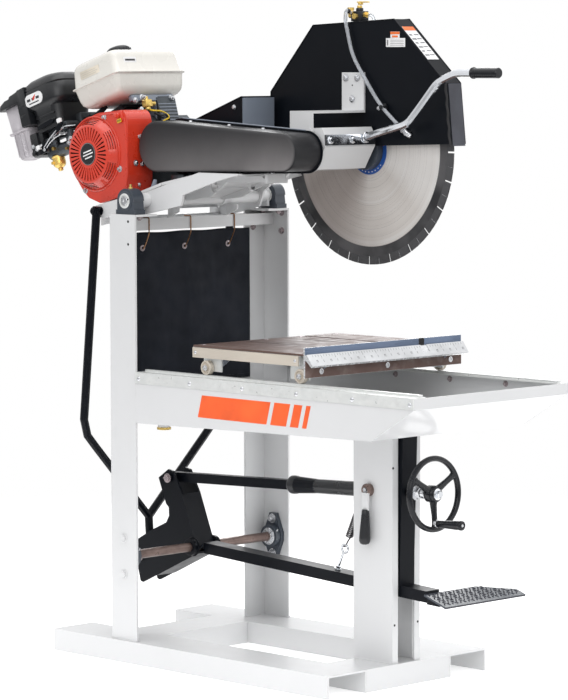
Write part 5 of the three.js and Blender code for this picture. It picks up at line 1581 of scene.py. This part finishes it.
def build_leg_details():
    """Drilled holes drawn as near-black discs of painted shade, bolts at the leg tops, weld beads at the feet
    and the column's folded lips.
    """
    foot = 61
    holes, bolts, welds = Form(), Form(), Form()
    for z in (1196, 1135):
        holes.rod((-228, -291.1, z), (-228, -290.4, z), 3.6, sides=20)
    for z in (1202, 1151):
        bolts.bolt((-224, 284.6, z), NEARWARD, 13, 6, 1.25)
        holes.rod((-228, 291.1, z), (-228, 290.4, z), 3.6, sides=20)
    bolts.bolt((-295.3, 242, 1161), FORWARD, 12, 5, 1.3)
    bolts.bolt((-295.3, -242, 1161), FORWARD, 12, 5, 1.3)
    for side in (-1, 1):
        for x in (-275, -214):
            bolts.bolt((x, side * 262, 1208.4), DOWNWARD, 13, 6, 1.3, 3)
        welds.tube([(-300, side * 291.6, foot), (-202, side * 291.6, foot)], 2.2, 8)
        welds.tube([(-295, side * 283.6, foot), (-202, side * 283.6, foot)], 2.4, 8)
        welds.tube([(-294.6, side * 212, foot), (-294.6, side * 284, foot)], 2.4, 8)
        welds.tube([(-294, side * 283.4, 1170), (-258, side * 283.4, 1170)], 1.8, 8)
    for y in (-53, 53):
        welds.tube([(384, y, foot), (522, y, foot)], 2.2, 8)
    for y0, y1 in ((-52, -31), (31, 52)):
        welds.tube([(522.6, y0, foot), (522.6, y1, foot)], 2.2, 8)
    holes.rod((523.3, -50, 573), (522.6, -50, 573), 3.4, sides=20)
    for y in (-44, 44):
        holes.rod((523.3, y, 161), (522.6, y, 161), 3.2, sides=20)
    # The holes are near-black discs: painted shade inside them.
    holes.make("stand_holes", "dark_hollow", "stand")
    bolts.make("leg_bolts", "old_bolt", "stand")
    welds.make("stand_welds", "white_paint", "stand")
    column_lips = Form()
    for side in (-1, 1):
        column_lips.tube([(516, side * 31.6, 64), (516, side * 31.6, 664)], 1.4, 6)
    column_lips.make("column_lip_edges", "white_paint", "stand")


def build_rail_details():
    """Screws through both rails, and their nuts inside the tray."""
    screws, nuts = Form(), Form()
    for side in (-1, 1):
        for x in RAIL_SCREW_X:
            screws.dome((x, side * 294.2, 776), (0, side, 0), 6.4, 3.4)
            nuts.bolt((x, side * 287.8, 776), (0, -side, 0), 10, 5, 1.3, 3)
    screws.make("rail_screws", "bright_steel", "stand")
    nuts.make("rail_nuts", "old_bolt", "stand")


def build_tray_details():
    """Plain orange band with slanted ends on the near side, rolled front hem and drain collar."""
    band = Form()
    low, high, lean = 689, 748, 16
    for x0, x1 in ((42, 300), (314, 372), (386, 416), (430, 446)):
        outline = [(x0, low), (x1, low), (x1 + lean, high), (x0 + lean, high)]
        band.plate(outline, "Y", -291.35, -290.9)
    band.make("tray_band", "decal_orange", "stand")
    hem = Form()
    hem.tube([(822.2, -290, 763.5), (822.2, 290, 763.5)], 1.3, 8)
    hem.tube([(821.4, -289, 790), (821.4, 289, 790)], 1.5, 8)
    hem.tube([(673.9, -290.6, 674.6), (821, -290.6, 763)], 1.2, 8)
    hem.tube([(673.9, 290.6, 674.6), (821, 290.6, 763)], 1.2, 8)
    hem.make("tray_hem", "white_paint", "stand")
    drain = Form().lathe((-150, -235, 642), DOWNWARD, [(12, -2), (19, -2), (19, 4), (16, 5), (12, 5)], 28)
    drain.make("drain_plug", "brass", "stand")


CURTAIN_NEAR, CURTAIN_FAR, CURTAIN_TOP, CURTAIN_FOOT = -213, 217, 1162, 741
EYELETS = (-190, -35, 131)


def curtain_point(y, z):
    """Where the cloth is at a height: soft folds fan out below each eyelet, and it sags at the top."""
    down = (CURTAIN_TOP - z) / (CURTAIN_TOP - CURTAIN_FOOT)
    push = 0.0
    for centre, depth in zip(EYELETS, (3.0, 5.5, 3.0)):
        spread = 26 + 150 * down
        reach = math.exp(-((y - centre) / spread) ** 2)
        push += depth * reach * min(1, down * 5) * (1 - 0.45 * down)
    push += 1.6 * math.sin(y * 0.043 + 1.3 + 1.2 * down) * down
    sag = 2.2 * math.sin(math.pi * (y + 190) / 155) ** 2 * (1 - down) ** 6
    return -284.2 + push, z - sag


def curtain_line(z, steps, lift=0.0):
    """The points of the cloth along one height."""
    points = []
    for i in range(steps + 1):
        y = CURTAIN_NEAR + (CURTAIN_FAR - CURTAIN_NEAR) * i / steps
        x, height = curtain_point(y, z)
        points.append((x + lift, y, height))
    return points


def build_curtain():
    """Rubberised cloth hung from three wire hooks, with its hem stitch and metal eyelets."""
    columns, rows = 72, 60
    drop = CURTAIN_FOOT - CURTAIN_TOP
    form = Form()
    lines = [curtain_line(CURTAIN_TOP + drop * row / rows, columns) for row in range(rows + 1)]
    form.skin(lines, closed=False, caps=False)
    cloth = form.make("curtain_cloth", "black_cloth", "stand", crease=80)
    thickness = cloth.modifiers.new("cloth", "SOLIDIFY")
    thickness.thickness = 2.2 * MM
    thickness.offset = 0
    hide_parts("curtain")
    stitch = Form().tube(curtain_line(752, 80, 1.5), 0.5, 6)
    stitch = stitch.make("curtain_hem_stitch", "black_plastic", "stand")
    rims = Form()
    for y in EYELETS:
        profile = [(4, 0), (9, 0), (8.4, 1.4), (6, 2), (4, 1.2), (4, 0)]
        rims.lathe((curtain_point(y, 1117)[0] + 1.2, y, 1119), FORWARD, profile, 24)
    metal = rims.make("curtain_eyelets", "old_bolt", "stand")


def build_lock_lever():
    """Small clamp on the column: bronze-coloured hub, plated shank drawn in white paint as a painted bright
    reflection, and tapered black grip.
    """
    x, z = 440, 510
    face = -52.8
    hub = Form().lathe((x, face, z), NEARWARD, [(0, 0), (17, 0), (17, 12), (14, 15.5), (8, 16), (8, 12),
                                                (0, 12)], 36)
    clamp = hub.make("lever_hub", "brown_steel", "lock_lever")
    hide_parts("lock_lever")
    screw = Form().bolt((x - 1, face - 11.5, z + 1), NEARWARD, 11, 6, 1.2)
    screw.make("lever_screw", "bright_steel", "lock_lever")
    # The shank's white paint stands for the bright reflection on its plating: painted reflection.
    outline = [(x - 10, z - 6), (x + 14, z - 6), (x + 13, z - 52), (x - 6, z - 56), (x - 9, z - 40)]
    shank = Form().plate(outline, "Y", face - 19, face - 13, 1.6)
    shank.make("lever_shank", "white_paint", "lock_lever")
    profile = [(0, 0), (8.6, 0), (9.8, 2), (10.6, 12), (12.8, 40), (14.9, 74), (14.8, 82), (12, 89), (6, 92),
               (0, 92.6)]
    grip = Form().lathe((x + 3, face - 17, z - 50), (-0.01, -0.03, -1), profile, 28)
    grip.make("lever_grip", "black_plastic", "lock_lever")


def build_stand():
    """Everything that stays still."""
    build_pillow_blocks()
    build_flange_bearings()
    build_leg_details()
    build_rail_details()
    build_tray_details()
    build_curtain()
    build_lock_lever()


# ---------------------------------------------------------------- rolling cart
FENCE_HALF = 295
RULE_TOP, RULE_FOOT, RULE_WIDTH = Vector((451.5, 0, 878.6)), Vector((472.2, 0, 850.0)), 35.3


def build_cart_strips():
    """Pale strips along the deck's two sides."""
    strip = Form()
    for side in (-1, 1):
        near, far = sorted((side * 268.6, side * 272.4))
        strip.block((2, near, 844.5), (398, far, 871), 1.2)
    strip.make("cart_side_strips", "side_strip", "cart")


def build_axle_brackets():
    """Folded brackets over the axles, with their bolts."""
    brackets, bolts = Form(), Form()
    for side in (-1, 1):
        for x in (49, 399):
            y = side * 246.5
            outline = [(x - 26, 845), (x + 38, 845), (x + 16, 812), (x - 12, 812)]
            brackets.plate(outline, "Y", *sorted((y, y + side * 3)), 0.6)
            gusset = [(x + 20, 846), (x + 60, 846), (x + 22, 820)]
            brackets.plate(gusset, "Y", *sorted((y - side * 20, y - side * 17)), 0.6)
            bolts.bolt((x, side * 270.2, 818.6), (0, side, 0), 11, 4, 1.1, 1.5)
        for x in (14, 386):
            bolts.dome((x, side * 272.6, 858), (0, side, 0), 4.6, 2.4)
    brackets.make("axle_brackets", "bluish_zinc", "cart")
    bolts.make("axle_bolts", "bright_steel", "cart")


def build_cart_wheels():
    """Four pressed wheels, dished on both sides."""
    profile = [(5.6, -7.4), (9, -7.4), (9, -4), (13, -3.4), (15.2, -7), (18.2, -7), (19, -6), (18.6, 0),
               (19, 6), (18.2, 7), (15.2, 7), (13, 3.4), (9, 4), (9, 7.4), (5.6, 7.4), (5.6, -7.4)]
    for end, x in (("rear", 49), ("front", 399)):
        for name, side in (("near", -1), ("far", 1)):
            body = f"cart_wheel_{end}_{name}"
            disc = Form().lathe((x, side * 262, 818.65), FARWARD, profile, 44)
            wheel = disc.make(f"{body}_disc", "side_strip", body)
            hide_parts(body)


def rule_patch(form, start, end, near, far, lift, thick):
    """A thin patch on the sloping rule, between two distances down its slope."""
    lean = (RULE_FOOT - RULE_TOP).normalized()
    out = Vector((-lean.z, 0, lean.x))

    def ring(height):
        points = [(RULE_TOP + lean * along + out * height, y)
                  for along, y in ((start, near), (start, far), (end, far), (end, near))]
        return [(point.x, y, point.z) for point, y in points]

    form.skin([ring(lift), ring(lift + thick)])


def build_rule():
    """The white rule on the fence's slope, with two rows of plain marks."""
    rule = Form()
    for near, far in ((-FENCE_HALF, 128), (152, FENCE_HALF)):
        rule_patch(rule, 0, RULE_WIDTH, near, far, -0.4, 1.6)
    rule_patch(rule, RULE_WIDTH * 0.62, RULE_WIDTH, 128, 152, -0.4, 1.6)
    rule.make("rule_strip", "rule_white", "cart")
    ticks = Form()
    for number in range(-28, 29):
        y = number * 10 + 2
        if 124 < y < 156:
            continue
        length = 11 if number % 5 == 0 else 5.5
        rule_patch(ticks, 3, 3 + length, y - 0.5, y + 0.5, 1.1, 0.3)
    for number in range(-11, 12):
        y = number * 25 + 6
        if 120 < y < 160:
            continue
        rule_patch(ticks, 18, 25, y - 2.6, y - 1.4, 1.1, 0.3)
        if number % 2:
            rule_patch(ticks, 18, 25, y + 1.4, y + 2.6, 1.1, 0.3)
            rule_patch(ticks, 18, 19.2, y - 2.6, y + 2.6, 1.1, 0.3)
    ticks.make("rule_marks", "grey_ink", "cart")


def build_fence_faces():
    """Blued upper face, brown lower face, the notch filled with near-black blocks of painted shade, and the
    bolts of the fence.
    """
    upper = Form()
    for near, far in ((-FENCE_HALF, 130), (150, FENCE_HALF)):
        upper.block((444.4, near + 0.5, 878.5), (445.4, far - 0.5, 895.6), 0.2)
    upper.make("fence_upper_face", "blue_steel", "cart")
    lower = Form().block((445.5, -FENCE_HALF + 0.5, 818.5), (446.6, FENCE_HALF - 0.5, 862), 0.2)
    lower.make("fence_lower_face", "deck_brown", "cart")
    # The notch blocks are near-black: painted shade in the blade's slot.
    notch = Form()
    notch.block((444.6, 131, 872), (446.2, 149, 896.2), 0.2)
    notch.block((447, 131, 862), (452, 149, 874), 0.4)
    notch.make("fence_notch", "dark_hollow", "cart")
    screws = Form()
    washer = [(0, 0), (7.6, 0), (7.6, 1.2), (5, 1.4), (0, 1.4)]
    for y in (-237, 9, 252):
        screws.dome((446.6, y, 833), FORWARD, 5.6, 3.4)
        screws.lathe((446.6, y, 833), FORWARD, washer, 24)
    screws.make("fence_bolts", "bright_steel", "cart")


DECK_TOP = 876.9


def build_deck_marks():
    """Two seams across the deck and the rivets near its ends."""
    seam = Form()
    for y in (-90, 60):
        seam.block((6, y - 0.7, DECK_TOP), (438, y + 0.7, DECK_TOP + 0.45), 0.1)
    seam.make("deck_seams", "dark_hollow", "cart")
    rivets = Form()
    for x in (24, 396):
        for y in (-250, 250, -20, 110):
            rivets.dome((x, y, DECK_TOP), UPWARD, 6, 1.6)
    rivets.make("deck_rivets", "old_bolt", "cart")


def build_cart():
    """Everything that rolls with the cart."""
    build_cart_strips()
    build_axle_brackets()
    build_cart_wheels()
    build_rule()
    build_fence_faces()
    build_deck_marks()


# ---------------------------------------------------------------- pedal, spring, handwheel and yoke
PIN_HEIGHT, PIN_X = 472, -346
YOKE_EYE = (-462, 240)
YOKE_PIN = (-395, 1218)


def pedal_top(x):
    """Height of the upper face of the pedal's square tube."""
    return PEDAL_PIVOT[1] + PEDAL_SLOPE * (x - PEDAL_PIVOT[0]) + PEDAL_TUBE_HALF


def build_spring():
    """Close-wound tension spring with its hooks, hung over a chrome eye bolt."""
    top, foot = Vector((363, 0, 470)), Vector((273, 0, pedal_top(273) + 1.35))
    ahead = (foot - top).normalized()
    side = Vector(FARWARD)
    other = ahead.cross(side)
    length = (foot - top).length

    def on_coil(distance, turn, radius):
        """A point beside the line from top to foot."""
        return top + ahead * distance + (side * math.cos(turn) + other * math.sin(turn)) * radius

    coil_start, coil_end, turns = 0.10 * length, 0.53 * length, 17
    path = [on_coil(d, 0, r) for d, r in ((0, 0.0), (0.05 * length, 0.5), (0.085 * length, 4))]
    steps = turns * 14
    for i in range(steps + 1):
        share = i / steps
        path.append(on_coil(coil_start + (coil_end - coil_start) * share, 2 * math.pi * turns * share, 8.6))
    path += [on_coil(0.56 * length, 0, 4), on_coil(0.6 * length, 0, 1)]
    hook_end = 0.64 * length
    for turn in (0.4, 1.0, 1.6, 2.2):
        path.append(on_coil(hook_end + 6 * math.sin(turn), math.pi, 5 * (1 - math.cos(turn))))
    wire = Form().tube(path, 2.1, 8).make("spring_coil", "spring_wire", None, crease=60)
    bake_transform(wire)
    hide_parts("return_spring")
    eye = Form()
    centre = top + ahead * (0.70 * length)
    loop = [centre + (ahead * math.cos(turn) + other * math.sin(turn)) * 11 for turn in full_turn(32)]
    eye.tube(loop, 3.3, 12, caps=False)
    eye.rod(centre + ahead * 10, foot + ahead * -4, 3.4, sides=18, soften=0.6)
    eye.bolt(foot - ahead * 10, ahead, 12, 7, 0)
    eye.rod(foot - ahead * 3, foot - Vector(UPWARD), 9, sides=24, soften=0.6)
    eye.make("spring_eye_bolt", "chrome", "pedal")
    post = Form()
    post.rod((365, -10, 473), (365, 10, 473), 4, sides=16, soften=0.6)
    post.block((363, -8, 464), (382.6, 8, 480), 1)
    post.make("spring_anchor", "black_paint", "stand")


def build_link_sleeve():
    """Glossy rubber sleeve that widens at its rear end, over the steel screw link."""
    rear_x = 100
    start = Vector((rear_x, 0, PIN_HEIGHT + (rear_x - PIN_X) * LINK_RISE / LINK_RUN))
    profile = [(14.5, 0), (22, 1), (24.6, 5), (25.2, 12), (24.6, 20), (22.6, 26), (20.6, 33), (19.4, 44),
               (19.0, 60),
               (19.2, 120), (19.6, 230), (19.8, 366), (18.6, 369), (14, 369)]
    sleeve = Form().lathe(start, Vector((LINK_RUN, 0, LINK_RISE)).normalized(), profile, 40)
    sleeve.make("link_sleeve", "black_plastic", "pedal")


def build_crank_pins():
    """Turned ends of the two pins that hold the link and the yoke, with their cotters."""
    pin = Form()
    for side in (-1, 1):
        for (x, z), radius in (((PIN_X, PIN_HEIGHT), 13), (YOKE_EYE, 12)):
            profile = [(0, 0), (radius, 0), (radius, 2.4), (radius - 4.4, 2.8), (radius - 4.4, 7),
                       (radius - 5.4, 8), (0, 8)]
            pin.lathe((x, side * 41.4, z), (0, side, 0), profile, 28)
            pin.rod((x - radius + 1, side * 46, z), (x + radius - 1, side * 46, z), 1.5, sides=10)
    pin.make("crank_pin_ends", "old_bolt", "pedal")


def build_crank_details():
    """Weld beads along the cheeks, and the hubs on the lower shaft."""
    x, z = PEDAL_PIVOT
    weld = Form()
    for side in (-1, 1):
        ring_weld(weld, PEDAL_PIVOT, side * 35.6, 25, 2.2)
        weld.tube([(-236, side * 26, pedal_top(-218) - 20), (-217, side * 26, pedal_top(-217) - 1)], 2.2, 8)
    weld.make("crank_welds", "black_paint", "pedal")
    profile = [(13.2, 0), (22.6, 0), (22.6, 13.6), (21.6, 14.6), (13.2, 14.6)]
    hubs = Form()
    for side in (-1, 1):
        hubs.lathe((x, side * 36, z), (0, side, 0), profile, 40)
        hubs.bolt((x + 16, side * 43, z + 16), (0.7, 0, 0.7), 8, 4, 0)
    hubs.make("crank_hubs", "black_paint", "pedal")


def build_foot_plate():
    """Checker plate: slanting rows of small raised lozenges that stop at the plate's cut corner."""
    low, high = Vector((617.4, 0, 251.7)), Vector((694, 0, 225.7))
    along = (high - low).normalized()
    out = Vector((-along.z, 0, along.x))
    sideways = Vector(FARWARD)
    lozenges = Form()
    step_along, step_across, slant = 9.6 * 0.98, 15.5, 0.62
    for row in range(7):
        for column in range(19):
            centre_y = -22 + column * step_across + (step_across / 2 if row % 2 else 0)
            middle = low + along * (9 + row * step_along)
            cut_edge = 163 + (middle.x - 617) * 115 / 45
            if centre_y > min(270, cut_edge - 6):
                continue
            turn = slant if (row + column) % 2 else -slant
            ahead = along * math.cos(turn) + sideways * math.sin(turn)
            across = out.cross(ahead)
            rings = []
            for lift, grow in ((0.0, 1.0), (1.1, 0.86), (1.9, 0.52)):
                base = middle + sideways * centre_y + out * (lift - 0.3)
                long, wide = ahead * 6.4 * grow, across * 2.3 * grow
                rings.append([base + long * math.cos(t) + wide * math.sin(t) for t in full_turn(10)[:-1]])
            lozenges.skin(rings)
    lozenges.make("tread_lozenges", "tread_steel", "pedal")


def build_tread_supports():
    """Two gussets under the foot plate, and its worn edges."""
    gusset = Form()
    for low, high in ((26, 31), (-31, -26)):
        gusset.plate([(625, 226), (668, 224), (672, 228), (625, 243)], "Y", low, high, 0.6)
    gusset.make("tread_gusset", "black_paint", "pedal")
    edges = Form()
    edges.tube([(618.6, -32, 249), (618.6, 163, 249), (662, 275, 234.4)], 2.2, 8)
    edges.tube([(692.4, -32, 223.8), (692.4, 276, 223.8)], 2.2, 8)
    edges.make("tread_edges", "tread_steel", "pedal")


def build_handwheel():
    """Moulded three-spoke wheel: a round rim, flattened spokes and a hub on its shaft."""
    wheel = Form(HANDWHEEL)
    section = [(92 + 7.6 * math.cos(t), 8.4 * math.sin(t)) for t in full_turn(20)[:-1]]
    rings = [[(h, r * math.cos(turn), r * math.sin(turn)) for r, h in section] for turn in full_turn(72)[:-1]]
    rings.append(rings[0])
    wheel.skin(rings, caps=False)
    bmesh.ops.remove_doubles(wheel.mesh, verts=wheel.mesh.verts, dist=0.01)
    spoke_steps = ((16, 12, 9, -3), (30, 9.6, 8, -3), (55, 8, 6.6, -1), (75, 8.4, 6.4, 0), (86, 11, 7, 0))
    for degrees in (-90, 30, 150):
        turn = math.radians(degrees)
        direction = Vector((0, math.cos(turn), math.sin(turn)))
        across = Vector((0, -math.sin(turn), math.cos(turn)))
        spoke = []
        for distance, wide, deep, forward in spoke_steps:
            spoke.append([direction * distance + across * wide * math.cos(t)
                          + Vector(FORWARD) * (forward + deep * math.sin(t)) for t in full_turn(16)[:-1]])
        wheel.skin(spoke)
    hub = [(10.4, -19), (20, -19), (22.4, -16), (23, -2), (21, 9), (16, 12), (0, 12)]
    wheel.lathe((0, 0, 0), FORWARD, hub, 40)
    wheel.lathe((0, 0, 0), FORWARD, [(0, -150), (10.2, -150), (10.2, 0), (0, 0)], 28)
    moulded_wheel = wheel.make("handwheel_moulding", "gloss_black", "handwheel", crease=50)
    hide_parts("handwheel")


def build_handwheel_fixings():
    """Bright centre bolt on its washer, and the nut and collar behind the wheel."""
    bolt = Form(HANDWHEEL)
    bolt.lathe((11.6, 0, 0), FORWARD, [(0, 0), (15, 0), (15, 2), (13.6, 2.8), (0, 2.8)], 36)
    bolt.bolt((14, 0, 0), FORWARD, 17, 9, 1.1)
    bolt.make("handwheel_bolt", "chrome", "handwheel")
    nut = Form(HANDWHEEL)
    nut.bolt((-62, 0, 0), FORWARD, 26, 16, 1.2)
    nut.lathe((-38, 0, 0), FORWARD, [(0, 0), (14, 0), (14, 10), (12, 12), (0, 12)], 28)
    nut.make("screw_lock_nut", "bright_steel", "handwheel")


def build_crank_grip():
    """The handwheel's turning grip, on its pin."""
    drop = -77
    pin = Form(HANDWHEEL)
    pin.lathe((4, 0, drop), FORWARD, [(0, 0), (10.5, 0), (10.5, 4), (9, 6.5), (0, 6.5)], 28)
    pin.rod((0, 0, drop), (97, 0, drop), 3.9, sides=18)
    pin.make("crank_grip_pin", "bright_steel", "handwheel")
    profile = [(4.4, 0), (8.4, 0), (9.4, 1.6), (9.6, 6), (10.4, 24), (11.6, 52), (12.2, 68), (11.6, 72.5),
               (12.4, 75), (12.8, 79), (12.2, 82.6), (10.6, 84), (6, 84.3), (5.4, 82.6), (4.4, 82.6)]
    grip = Form(HANDWHEEL).lathe((13.2, 0, drop), FORWARD, profile, 32)
    handle = grip.make("crank_grip_moulding", "gloss_black", "crank_grip", crease=50)
    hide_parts("crank_grip")


def build_yoke_details():
    """Pin heads and washers at the yoke's upper ends, and a weld ring on each side of its eye."""
    x, z = YOKE_PIN
    head = [(0, 0), (11, 0), (11, 2), (8, 2.4), (7.4, 6), (6, 7.4), (0, 7.4)]
    ends = Form()
    for side in (-1, 1):
        ends.lathe((x, side * 266, z), (0, side, 0), head, 28)
        ends.lathe((x, side * 243, z), (0, -side, 0), [(6.2, 0), (12, 0), (12, 2), (6.2, 2)], 24)
    ends.make("yoke_pin_heads", "black_paint", "yoke")
    weld = Form()
    for y in (20.5, -20.5):
        weld.tube(circle_about_y(YOKE_EYE, y, 18.8, 28), 1.4, 8, caps=False)
    weld.make("yoke_eye_rims", "black_paint", "yoke")


def build_pedal():
    """Pedal, spring, link, handwheel and yoke."""
    build_spring()
    build_link_sleeve()
    build_crank_pins()
    build_crank_details()
    build_foot_plate()
    build_tread_supports()
    build_handwheel()
    build_handwheel_fixings()
    build_crank_grip()
    build_yoke_details()


def build_all():
    """Add every visual piece."""
    build_engine()
    build_head()
    build_stand()
    build_cart()
    build_pedal()


make_materials()
make_studio()
dress_cad_nodes()
build_all()
